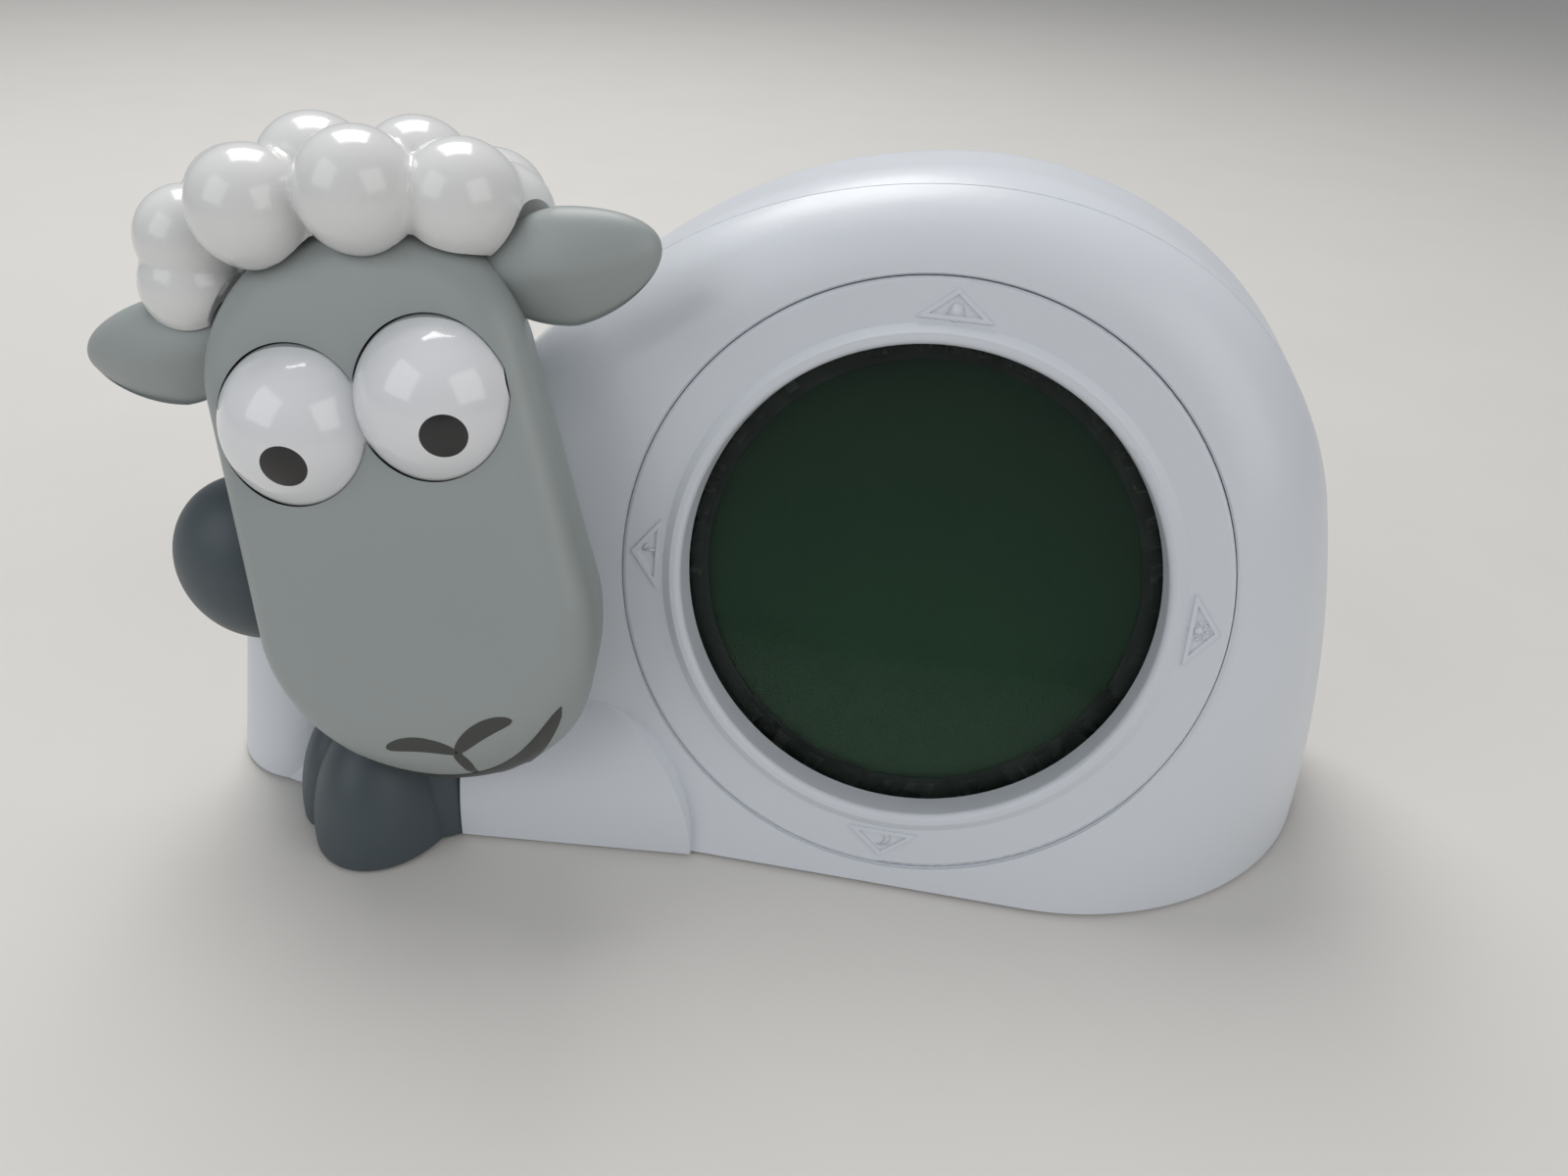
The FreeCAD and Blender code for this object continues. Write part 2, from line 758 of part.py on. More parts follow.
rear_room = primitive(
    "Box", at(-200, "parting_depth + fit_gap / 2", 0), Length="400", Width="100", Height="200"
)
bay_frame = block(
    0, 0, f"-{LEDGE} - bay_wall", "door_width + 4", "door_tall + 6", f"{LEDGE} + bay_wall - 0.5", BAY
)
recess = block(0, "-0.5", f"-{LEDGE}", "door_width + 0.6", "door_tall + 1.6", "10", BAY)
bay_opening = block(0, 0, -10, BAY_LONG, BAY_TALL, "20", BAY)
pin_hole = rod(
    BAY + at("-door_width / 2 - 1.6", "-door_tall / 2", "-door_sunk", "0; 1; 0", "90"),
    "pin_radius + 0.1",
    "door_width + 3.2",
)
door_screw_boss = rod(BAY + at(0, "door_tall / 2 - 2.6", f"-{LEDGE} - 5"), "2.4", "5.2")
door_screw_hole = rod(BAY + at(0, "door_tall / 2 - 2.6", f"-{LEDGE} - 4.6"), "small_screw + 0.6", "10")
grille = [rod(SPEAKER + at(0, 0, -10), "grille_hole", "20")]
for ring, count in ((1, 6), (2, 12)):
    for step in range(count):
        reach = f"{ring} * grille_pitch * {1 if ring == 1 or step % 2 == 0 else 0.866}"
        spoke = SPEAKER + at(0, 0, -10, angle=360 / count * step) + " * "
        grille.append(rod(spoke + at(reach, 0, 0), "grille_hole", "20"))
speaker_collar = tube(
    SPEAKER + at(0, 0, "-shell_wall - 2.5"), "speaker_radius + 0.2", "speaker_radius + 1.6", "3"
)
inlet_block = block(0, 0, "-inlet_deep + 1", "inlet_width + 4", "inlet_tall + 4", "inlet_deep - 2", INLET)
inlet_hole = block(0, 0, -20, "inlet_width", "inlet_tall", "30", INLET)
switch_recess = block(0, 0, -1, "knob_width + switch_throw + 6", "knob_tall + 4", "3", SWITCH)
switch_slot = block(0, 0, -5, "knob_width + switch_throw + 0.8", "knob_tall + 0.8", "6", SWITCH)
screw_wells = [
    rod(along_depth(x, "screw_seat", z), "screw_head + 0.5", "body_back - screw_seat + 1")
    for x, z in HOUSING_SCREWS
]
screw_holes = [
    rod(along_depth(x, "parting_depth - 1", z), "screw_radius + 0.3", "20") for x, z in HOUSING_SCREWS
]
body_rear = fused(
    skin, bay_frame, door_screw_boss, speaker_collar, inlet_block, *rear_bosses()
)
body_rear = cut(
    shared(body_rear, outside, rear_room),
    recess,
    bay_opening,
    door_screw_hole,
    pin_hole,
    inlet_hole,
    switch_recess,
    switch_slot,
    *grille,
    *screw_wells,
    *screw_holes,
    *foot_pockets,
)
placed("body_rear_shell", body_rear, clock)

housing_screws = [
    screw(along_depth(x, "screw_seat", z), "screw_radius", "screw_head", "screw_head_tall", "screw_length")
    for x, z in HOUSING_SCREWS
]
group_of("housing_screws", housing_screws, clock)
group_of("rubber_feet", [rod(at(x, y, "-foot_proud"), "foot_radius", "foot_thick") for x, y in FEET], clock)

# Hooves

hoof_blank = ellipsoid(
    Vector(size("hoof_x"), 17.5 - size("hoof_reach"), 0), size("hoof_half_width"), 17.5, size("hoof_height")
).fuse(
    [
        ellipsoid(Vector(-88, -12, 0), 12, 14, size("hoof_height")),
        ellipsoid(Vector(-106, -15, 0), 8.6, 13, 20),
    ]
)
hoof_blank = hoof_blank.cut(half_space(Vector(), Vector(0, 0, -1)))
hoof_blank = hoof_blank.cut(half_space(Vector(size("leg_seam"), 0, 0), Vector(1, 0, 0)))
placed("front_hoof", cut(form("HoofBlank", hoof_blank), outside, head_skin_by_clock), clock)
cheek_centre = Vector(size("cheek_hoof_x"), size("cheek_hoof_y"), size("cheek_hoof_z"))
cheek_blank = form("CheekBlank", ellipsoid(cheek_centre, 15, 13, size("cheek_hoof_tall")))
placed("cheek_hoof", cut(cheek_blank, outside, head_skin_by_clock), clock)

# Control ring, tilting on a steel ring inside it

PIVOT = "-pivot_depth"
ring = new_body("control_ring", face)
ring_profile = sketch_in(ring, "XZ_Plane")
outline(
    ring_profile,
    ("throat_radius", "-throat_depth"),
    ("throat_radius", "lip_rise"),
    ("lip_crest", "lip_rise"),
    ("lip_start", "0"),
    ("ring_radius", "0"),
    ("ring_radius", "-ring_skirt"),
    ("ring_radius - ring_wall", "-ring_skirt"),
    ("ring_radius - ring_wall", "-ring_plate"),
    ("throat_radius + ring_wall", "-ring_plate"),
    ("throat_radius + ring_wall", "-throat_depth"),
)
turned = revolved(ring, ring_profile)
doc.recompute()
rounded(ring, turned, "1.2", rim(size("throat_radius"), size("lip_rise")))
rounded(ring, ring.Tip, "0.8", rim(size("ring_radius"), 0))
post_sketch = sketch_in(ring, "XY_Plane", "-ring_plate")
circle(post_sketch, "0", "post_circle", "post_radius")
posts = feature(ring, "Pad", post_sketch, "post_end - ring_plate", backwards=True)
repeated(ring, post_sketch, [posts], 4)
SLANT = "sqrt((mark_width / 2)^2 + (mark_apex - mark_base)^2)"
INNER_APEX = f"mark_apex - 2 * mark_line * {SLANT} / mark_width"
INNER_HALF = f"({INNER_APEX} - mark_base - mark_line) * mark_width / 2 / (mark_apex - mark_base)"
mark_sketch = sketch_in(ring, "XY_Plane")
outline(mark_sketch, ("-mark_width / 2", "mark_base"), ("mark_width / 2", "mark_base"), ("0", "mark_apex"))
outline(
    mark_sketch,
    (f"-{INNER_HALF}", "mark_base + mark_line"),
    (INNER_HALF, "mark_base + mark_line"),
    ("0", INNER_APEX),
)
mark = feature(ring, "Pad", mark_sketch, "mark_rise")
repeated(ring, mark_sketch, [mark], 4)
pin_sketch = sketch_in(ring, "XZ_Plane")
circle(pin_sketch, "0", PIVOT, "pin_radius + pin_slack")
feature(ring, "Pocket", pin_sketch, "4 * post_circle", about=True)

PIVOT_PINS = [
    rod(at(0, 0, PIVOT, angle=turn) + " * " + at(near, 0, 0, "0; 1; 0", "90"), "pin_radius", long)
    for turn, near, long in (
        (0, "frame_radius - frame_wall + 0.4", "1.5"),
        (180, "frame_radius - frame_wall + 0.4", "1.5"),
        (90, "tilt_ring_outer - 0.2", "2.1"),
        (270, "tilt_ring_outer - 0.2", "2.1"),
    )
]
tilt_band = tube(
    at(0, 0, f"{PIVOT} - tilt_ring_tall / 2"), "tilt_ring_inner", "tilt_ring_outer", "tilt_ring_tall"
)
placed("tilt_ring", fused(tilt_band, *PIVOT_PINS), face)

# Window, display and night light, stacked behind the ring

SHELF = "(lens_front + lens_thick + mask_thick)"
LCD_BACK = f"({SHELF} + frame_shelf + lcd_thick)"
one_piece = rod(f"FaceFrame.Placement * {at(0, 0, '-lens_front - lens_thick')}", "lens_radius", "lens_thick")
one_piece.Label = "window_lens"
pieces.append(one_piece)
placed("display_mask", tube(at(0, 0, f"-{SHELF}"), "mask_inner", "lens_radius", "mask_thick"), face)

holder = new_body("display_frame", face)
holder_profile = sketch_in(holder, "XZ_Plane")
outline(
    holder_profile,
    ("frame_inner", f"-{SHELF}"),
    ("frame_radius - frame_wall", f"-{SHELF}"),
    ("frame_radius - frame_wall", "-frame_front"),
    ("frame_radius", "-frame_front"),
    ("frame_radius", "-flange_depth"),
    ("flange_radius", "-flange_depth"),
    ("flange_radius", "-flange_depth - flange_thick"),
    ("frame_radius", "-flange_depth - flange_thick"),
    ("frame_radius", "-board_depth"),
    ("frame_radius - frame_wall", "-board_depth"),
    ("frame_radius - frame_wall", f"-{SHELF} - frame_shelf"),
    ("frame_inner", f"-{SHELF} - frame_shelf"),
)
revolved(holder, holder_profile)
arm_sketch = sketch_in(holder, "XY_Plane", "-flange_depth", turn=45)
rectangle(
    arm_sketch, "(lug_circle + frame_radius + 1) / 2", "0", "lug_circle - frame_radius - 1", "2 * lug_radius"
)
lug_arm = feature(holder, "Pad", arm_sketch, "flange_thick", backwards=True)
lug_sketch = sketch_in(holder, "XY_Plane", "-flange_depth", turn=45)
circle(lug_sketch, "lug_circle", "0", "lug_radius")
lug_end = feature(holder, "Pad", lug_sketch, "flange_thick", backwards=True)
stand_sketch = sketch_in(holder, "XY_Plane", "-flange_depth", turn=45)
circle(stand_sketch, "board_screw_x * sqrt(2)", "0", "2.6")
stand = feature(holder, "Pad", stand_sketch, "board_depth - flange_depth", backwards=True)
repeated(holder, arm_sketch, [lug_arm, lug_end, stand], 4)
screw_sketch = sketch_in(holder, "XY_Plane", "-flange_depth - flange_thick", turn=45)
circle(screw_sketch, "lug_circle", "0", "small_screw + 0.3")
lug_hole = feature(holder, "Pocket", screw_sketch, "flange_thick", backwards=True)
pilot_sketch = sketch_in(holder, "XY_Plane", "-board_depth", turn=45)
circle(pilot_sketch, "board_screw_x * sqrt(2)", "0", "small_screw + 0.05")
pilot = feature(holder, "Pocket", pilot_sketch, "4.4", backwards=True)
repeated(holder, screw_sketch, [lug_hole, pilot], 4)
socket_sketch = sketch_in(holder, "YZ_Plane")
circle(socket_sketch, "0", PIVOT, "pin_radius + pin_slack")
feature(holder, "Pocket", socket_sketch, "4 * frame_radius", about=True)

display_screws = [
    screw(
        at(0, 0, 0, angle=45 + 90 * turn)
        + " * "
        + at("lug_circle", 0, "-flange_depth - flange_thick", "1; 0; 0", "180"),
        "small_screw",
        "2 * small_screw",
        "1.4",
        "8",
    )
    for turn in range(4)
]
group_of("display_screws", display_screws, face)

panel = new_body("lcd_panel", face)
panel_sketch = sketch_in(panel, "XY_Plane", f"-{SHELF} - frame_shelf")
panel_turns = [22.5 + 45 * step for step in range(8)]
outline(panel_sketch, *((f"lcd_circle * cos({turn})", f"lcd_circle * sin({turn})") for turn in panel_turns))
feature(panel, "Pad", panel_sketch, "lcd_thick", backwards=True)

guide_disc = rod(at(0, 0, f"-{LCD_BACK} - guide_thick"), "lens_radius - 0.2", "guide_thick")
guide_feet = [
    rod(at(0, 0, "-board_depth", angle=90 * turn) + " * " + at("guide_foot_circle", 0, 0), "1.5", "3")
    for turn in range(4)
]
placed("light_guide", fused(guide_disc, *guide_feet), face)

key_board = tube(at(0, 0, "-flange_depth"), "frame_radius + 0.3", "flange_radius + 0.6", "key_board_thick")
placed("switch_board", key_board, face)
ring_switches = []
for turn in range(4):
    spoke = at(0, 0, "key_board_thick - flange_depth", angle=90 * turn)
    spot = f"{spoke} * {at('post_circle', 0, 0)} * "
    button = rod(spot + at(0, 0, "key_body"), "key_button_radius", "key_button")
    ring_switches.append(fused(block(0, 0, 0, "key_side", "key_side", "key_body", spot), button))
group_of("ring_switches", ring_switches, face)

board = new_body("main_board", face)
board_sketch = sketch_in(board, "XY_Plane", "-board_depth")
rectangle(board_sketch, "0", "0", "board_side", "board_side")
for across, along in ((1, 1), (-1, 1), (-1, -1), (1, -1)):
    circle(board_sketch, f"{across} * board_screw_x", f"{along} * board_screw_x", "small_screw + 0.2")
sheet_pad = feature(board, "Pad", board_sketch, "board_thick", backwards=True)
doc.recompute()
rounded(board, sheet_pad, "board_corner", upright)
UNDER_BOARD = "-board_depth - board_thick"
board_screws = [
    screw(
        at(f"{across} * board_screw_x", f"{along} * board_screw_x", UNDER_BOARD, "1; 0; 0", "180"),
        "small_screw",
        "2 * small_screw",
        "1.2",
        "5",
    )
    for across, along in ((1, 1), (-1, 1), (-1, -1), (1, -1))
]
group_of("board_screws", board_screws, face)
leds = [
    block(
        "led_circle",
        0,
        "-board_depth",
        "led_side",
        "led_side",
        "led_thick",
        at(0, 0, 0, angle=60 * turn) + " * ",
    )
    for turn in range(6)
]
group_of("night_light_leds", leds, face)
BEHIND = at(0, 0, UNDER_BOARD, "1; 0; 0", "180") + " * "
chips = [
    block(-12, -8, 0, "12", "12", "1.4", BEHIND),
    block(8, -6, 0, "6", "5", "1.2", BEHIND),
    block(-12, 8, 0, "8", "3", "2.4", BEHIND),
    block(30, 14, 0, "8", "5", "5", BEHIND),
    block(30, -10, 0, "8", "5", "5", BEHIND),
    rod(BEHIND + at(14, 12, 0), "3.2", "5.4"),
]
group_of("board_chips", chips, face)

# The face plane of the clock stands this far behind the middle of the eyes.
FACE_BEHIND = "((head_z - display_height) * sin(face_lean) - head_y * cos(face_lean))"

# Head: two shells with the eye sockets, a motor boss and a snooze shelf, clear of the tilting ring

EYE_ROOM = "eye_radius + eye_gap"
head_front_room = primitive("Box", at(-60, -40, -90), Length="120", Width="40 + head_seam", Height="150")
head_rear_room = primitive("Box", at(-60, "head_seam", -90), Length="120", Width="60", Height="150")
eye_rooms = [
    primitive("Sphere", at(f"{side} * eye_offset", "eye_depth", 0), Radius=EYE_ROOM) for side in (-1, 1)
]
motor_boss = rod(
    at(-40, "eye_depth", 0, "0; 1; 0", "90"), "motor_radius + 0.7", "40 - eye_offset - eye_radius + 0.3"
)
motor_pocket = rod(
    at("-eye_offset - eye_radius", "eye_depth", 0, "0; 1; 0", "90"), "motor_radius", "5"
)
bearing_boss = rod(
    at("eye_offset + eye_radius - 0.3", "eye_depth", 0, "0; 1; 0", "90"), "bearing_radius + 1.2", "20"
)
bearing_pocket = rod(
    at("eye_offset + eye_radius - 1", "eye_depth", 0, "0; 1; 0", "90"), "bearing_radius", "1.3"
)
head_hollow = cut(head_skin, head_inside, *eye_rooms)
shaft_bosses = shared(fused(motor_boss, bearing_boss), head_core)
head_front = cut(
    shared(fused(head_hollow, shaft_bosses), head_front_room), motor_pocket, bearing_pocket
)

STROKE_DEEP = 30


def stroke(start, middle, end, thick):
    """A crescent between two arcs through the same ends, drawn in front view and given depth."""
    upper = Part.Arc(start, middle + Vector(0, 0, thick / 2), end).toShape()
    lower = Part.Arc(end, middle - Vector(0, 0, thick / 2), start).toShape()
    return Part.Face(Part.Wire([upper, lower])).extrude(Vector(0, STROKE_DEEP, 0))


def nose_and_mouth_form():
    """A plain line nose over a smile."""
    half, level = size("nose_half_width"), size("nose_height")
    smile = size("smile_half_width")
    front = -STROKE_DEEP / 2
    strokes = [
        stroke(
            Vector(side * half, front, level + 3.3),
            Vector(side * half * 0.46, front, level + 1.7),
            Vector(0, front, level - 0.7),
            2.6,
        )
        for side in (-1, 1)
    ]
    stem = Part.makeBox(2.2, STROKE_DEEP, 6, Vector(-1.1, front, level - 6.2))
    mouth = stroke(
        Vector(-smile, front, level + 2.6),
        Vector(0, front, level - 6),
        Vector(smile, front, level + 2.6),
        1.8,
    )
    whole = strokes[0].fuse([strokes[1], stem, mouth])
    skin_deep = head_form(0).cut(head_form(size("print_depth")))
    near = Part.makeBox(80, 26, 60, Vector(-40, -14, -70))
    return whole.common(skin_deep).common(near)


print_form = form("NoseAndMouth", nose_and_mouth_form())
placed("head_front_shell", cut(head_front, print_form), head)
group_of("nose_and_mouth", [print_form], head)

shelf = block("stem_x", "head_seam + 12", "snooze_shelf", "60", "24 - 0.4", "1.5")
screw_bosses = [rod(at(x, "head_seam + 4", z, "1; 0; 0", "-90"), "3.6", "20") for x, z in HEAD_SCREWS]
head_pilots = [
    rod(at(x, "head_seam + 5", z, "1; 0; 0", "-90"), "screw_radius + 0.05", "20") for x, z in HEAD_SCREWS
]
crown_hole = rod(at("stem_x", "stem_y", 18), "stem_radius + 0.6", "20")
wire_way = rod(at(9, "head_seam + 5", -20, "1; 0; 0", "-90"), "4", "24")
rear_wall = primitive(
    "Box",
    at(-60, f"{FACE_BEHIND} - head_wall", -90),
    Length="120",
    Width="head_wall",
    Height="150",
)
ring_room = rod(RING_BY_HEAD, "ring_radius + ring_gap", "ring_lift")
ring_cover = rod(RING_BY_HEAD, "ring_radius + ring_gap + head_wall", "ring_lift + head_wall")
rear_void = cut(head_inside, shelf, rear_wall, ring_cover, *screw_bosses)
head_rear = cut(cut(shared(head_skin, head_rear_room), rear_void), outside_by_head)
head_rear = cut(head_rear, *eye_rooms, crown_hole, wire_way, motor_pocket, ring_room, *head_pilots)
placed("head_rear_shell", head_rear, head)
BEHIND_SHELL = f"{FACE_BEHIND} + shell_wall"
head_screws = [
    screw(at(x, BEHIND_SHELL, z, "1; 0; 0", "-90"), "screw_radius", "screw_head", "1.8", "11")
    for x, z in HEAD_SCREWS
]
group_of("head_screws", head_screws, head)

# Eyes: two hollow balls on one axle, white in front and lids above, in the eye frame


def sector(start, sweep):
    """The room between two angles about the axle, measured upwards from straight ahead."""
    room = rod(at(0, 0, -40, angle=f"270 - ({start}) - ({sweep})"), "3 * eye_radius", "80")
    room.setExpression("Angle", cells(sweep))
    return room


def balls(radius):
    return fused(
        *(primitive("Sphere", at(0, 0, f"{side} * eye_offset"), Radius=radius) for side in (-1, 1))
    )


web_room = rod(at(0, 0, "-eye_web"), "2 * eye_radius", "2 * eye_web")
end_bores = [rod(at(0, 0, end), "eye_bore", "25") for end in ("-eye_offset - 25", "eye_offset")]
ball_walls = cut(balls("eye_radius"), cut(balls("eye_radius - eye_wall"), web_room), *end_bores)
axle_hole = rod(at(0, 0, -40), "axle_radius", "80")
hub = rod(at(0, 0, "-eye_web"), "eye_hub", "2 * eye_web")
pupil_rods = []
for side, gaze in ((-1, "-gaze_left"), (1, "-gaze_right")):
    middle = at(0, 0, f"{side} * eye_offset", "1; 0; 0", gaze)
    dip = at(0, 0, 0, "0; 0; 1", "pupil_down")
    pupil_rods.append(rod(f"{middle} * {dip} * {at(0, 0, 0, '1; 0; 0', '90')}", "pupil_radius", "30"))
eye_front = cut(shared(ball_walls, sector("-eye_window", "2 * eye_window")), hub, axle_hole)
inlay = cut(balls("eye_radius"), balls("eye_radius - pupil_thick"))
pupil_shape = shared(fused(*pupil_rods), inlay)
placed("eye_pair", cut(eye_front, pupil_shape), eye)
group_of("pupils", [pupil_shape], eye)
lids = fused(shared(ball_walls, sector("eye_window", "2 * eye_window")), hub)
placed("eyelids", cut(lids, axle_hole), eye)
MOTOR_FACE = "(-eye_offset - eye_radius + motor_length)"
AXLE_LONG = f"eye_offset + eye_radius - 0.2 - {MOTOR_FACE}"
axle = rod(f"EyeFrame.Placement * {at(0, 0, MOTOR_FACE)}", "axle_radius", AXLE_LONG)
axle.Label = "eye_axle"
pieces.append(axle)
motor = rod(f"EyeFrame.Placement * {at(0, 0, '-eye_offset - eye_radius')}", "motor_radius", "motor_length")
motor.Label = "eye_motor"
pieces.append(motor)
bush = tube(
    at(0, 0, "eye_offset + eye_radius + 0.3 - bearing_length"),
    "axle_radius + axle_slack",
    "bearing_radius",
    "bearing_length",
)
placed("eye_bearing", bush, eye)

# Ears, each a flattened ellipsoid with the lower third turned under


def ear_form(side, grow):
    """The left ear, or its mirror image at the right, standing grow proud on all sides."""
    middle = Vector(-size("ear_middle"), 6, 15.5)
    blade = ellipsoid(
        Vector(),
        size("ear_reach") - size("ear_middle") + grow,
        size("ear_half_thick") + grow,
        size("ear_half_tall") + grow,
    )
    blade.rotate(Vector(), Vector(0, 1, 0), 4)
    blade.translate(middle)
    if not grow:
        scoop = ellipsoid(Vector(), 20, 8, 6.5)
        scoop.rotate(Vector(), Vector(0, 1, 0), 4)
        scoop.translate(middle + Vector(-11.5, -12.2, -6.5))
        blade = blade.cut(scoop)
    return blade if side < 0 else blade.mirror(Vector(), Vector(1, 0, 0))


for side, label in ((-1, "left_ear"), (1, "right_ear")):
    placed(label, cut(form("EarBlank", ear_form(side, 0)), head_skin, *eye_rooms), head)

# Wool tuft on the crown, pressed down to snooze

BUMPS = (
    (-26, 10, 29.5), (-13.2, 6, 35.7), (7.7, 6, 34.6), (21.7, 8, 28.9), (20.5, 16, 27),
    (-23, 18, 37.5), (-5, 14, 38.5), (12.5, 16, 36.5), (0.5, 25, 37.5), (-19, 26, 36),
    (-26, 22, 28), (20, 26, 28), (-10, 34, 31), (8, 34, 31), (0, 36, 24),
)


def tuft_form():
    """A cushion of round bumps, hollow below, clear of the head and the ears at rest and pressed."""
    bumps = [Part.makeSphere(size("tuft_bump"), Vector(*place)) for place in BUMPS]
    cushion = ellipsoid(Vector(-2, 16, 26), 26, 20, 15).fuse(bumps)
    gap, travel = size("tuft_gap"), size("tuft_travel")
    clear = [ellipsoid(Vector(-2, 15, 26), 21, 15, 13)]
    for lift in (0, travel):
        for blank in (head_form(-gap), ear_form(-1, gap), ear_form(1, gap)):
            blank.translate(Vector(0, 0, lift))
            clear.append(blank)
    for blank in clear:
        cushion = cushion.cut(blank)
    main = max(cushion.Solids, key=lambda solid: solid.Volume)
    stem_end = size("snooze_shelf") + 1.5 + size("snooze_key_body") + size("snooze_plunger") + travel + 0.1
    stem = Part.makeCylinder(
        size("stem_radius"), size("stem_top") - stem_end, Vector(size("stem_x"), size("stem_y"), stem_end)
    )
    return main.fuse(stem).removeSplitter()


placed("wool_tuft", form("Tuft", tuft_form()), head)
snooze_body = block(
    "stem_x", "stem_y", "snooze_shelf + 1.5", "snooze_key_side", "snooze_key_side", "snooze_key_body"
)
snooze_button = rod(at("stem_x", "stem_y", "snooze_shelf + 1.5 + snooze_key_body"), "1.6", "snooze_plunger")
placed("snooze_switch", fused(snooze_body, snooze_button), head)

# Battery bay behind the door

bay = coordinate_system("BayFrame", f"BackFrame.Placement * {at('bay_x', 'bay_z', 0)}")
TRAY_TOP = "(door_sunk + door_thick + bay_wall)"
CELL_Z = f"(-{TRAY_TOP} - 0.1 - cell_radius)"
tray = block(
    0, 0, f"{CELL_Z} - cell_radius - bay_wall", f"{BAY_LONG} + 2 * bay_wall", f"{BAY_TALL} + 2 * bay_wall",
    "2 * cell_radius + bay_wall + 0.1",
)
tray_room = block(0, 0, f"{CELL_Z} - cell_radius", BAY_LONG, BAY_TALL, "40")
rib = block(0, "cell_pitch / 2", f"{CELL_Z} - cell_radius", f"{BAY_LONG} / 2", "0.6", "4")
second_rib = block(0, "-cell_pitch / 2", f"{CELL_Z} - cell_radius", f"{BAY_LONG} / 2", "0.6", "4")
placed("battery_box", fused(cut(tray, tray_room), rib, second_rib), bay)
cells_in_bay = []
contacts = []
for row, way in ((-1, 1), (0, -1), (1, 1)):
    lie = at(0, f"{row} * cell_pitch", CELL_Z, "0; 1; 0", f"{way} * 90") + " * "
    cells_in_bay.append(
        fused(rod(lie + at(0, 0, "-cell_length / 2"), "cell_radius", "cell_length - 1.4"),
              rod(lie + at(0, 0, "cell_length / 2 - 1.4"), "2.7", "1.4"))
    )
    contacts.append(
        fused(block(0, 0, "cell_length / 2 + bay_spare - 0.5", "9", "9", "0.5", lie),
              rod(lie + at(0, 0, "cell_length / 2"), "2.2", "bay_spare - 0.2"))
    )
    contacts.append(
        fused(block(0, 0, "-cell_length / 2 - bay_spare", "9", "9", "0.5", lie),
              tube(lie + at(0, 0, "-cell_length / 2 - bay_spare"), "2.2", "3.2", "bay_spare"))
    )
group_of("batteries", cells_in_bay, bay)
group_of("battery_contacts", contacts, bay)

hinge = coordinate_system("DoorFrame", f"BayFrame.Placement * {at(0, '-door_tall / 2', '-door_sunk')}")
door = new_body("battery_door", hinge)
door_sketch = sketch_in(door, "XY_Plane")
rectangle(door_sketch, "0", "door_tall / 2", "door_width", "door_tall")
plate = feature(door, "Pad", door_sketch, "door_thick", backwards=True)
doc.recompute()
rounded(door, plate, "3", lambda edge: upright(edge) and edge.BoundBox.YMin > 1)
knuckle_sketch = sketch_in(door, "YZ_Plane")
circle(knuckle_sketch, "0", "0", "knuckle")
feature(door, "Pad", knuckle_sketch, "door_width", about=True)
hinge_pin_sketch = sketch_in(door, "YZ_Plane")
circle(hinge_pin_sketch, "0", "0", "pin_radius")
feature(door, "Pad", hinge_pin_sketch, "door_width + 2.6", about=True)
for depth, radius in (("door_thick", "small_screw + 0.1"), ("0.9", "2 * small_screw + 0.3")):
    hole_sketch = sketch_in(door, "XY_Plane")
    circle(hole_sketch, "0", "door_tall - 2.6", radius)
    feature(door, "Pocket", hole_sketch, depth)
door_screw = screw(at(0, "door_tall - 2.6", "-0.9"), "small_screw", "2 * small_screw", "0.8", "5")
placed("battery_door_screw", door_screw, hinge)

# Speaker, power inlet and slide switch

sound = coordinate_system("SpeakerFrame", f"BackFrame.Placement * {at('speaker_x', 'speaker_z', 0)}")
speaker = new_body("speaker", sound)
basket = sketch_in(speaker, "XZ_Plane")
outline(
    basket,
    ("0", "-shell_wall - 2.4"),
    ("speaker_radius / 3", "-shell_wall - 2.4"),
    ("speaker_radius - 3.5", "-shell_wall - 0.6"),
    ("speaker_radius - 3", "-shell_wall"),
    ("speaker_radius", "-shell_wall"),
    ("speaker_radius", "-shell_wall - 2"),
    ("speaker_radius - 2", "-shell_wall - 3"),
    ("speaker_radius / 2 + 0.5", "-shell_wall - 6"),
    ("speaker_radius / 2 + 0.5", "-shell_wall - speaker_deep"),
    ("0", "-shell_wall - speaker_deep"),
)
revolved(speaker, basket)

inlet = coordinate_system("InletFrame", f"BackFrame.Placement * {at('inlet_x', 'inlet_z', 0)}")
shroud = cut(
    block(0, 0, "-inlet_deep + 1", "inlet_width", "inlet_tall", "inlet_deep - 1.4"),
    block(0, 0, "-inlet_deep + 2.4", "inlet_width - 0.8", "inlet_tall - 0.8", "inlet_deep"),
)
tongue = block(0, 0, "-inlet_deep + 1.6", "inlet_width - 2.4", "0.8", "inlet_deep - 2.6")
inlet_board = block(0, 0, "-inlet_deep - 0.2", "inlet_width + 4", "inlet_tall + 4", "1.2")
placed("power_inlet", fused(shroud, tongue, inlet_board), inlet)

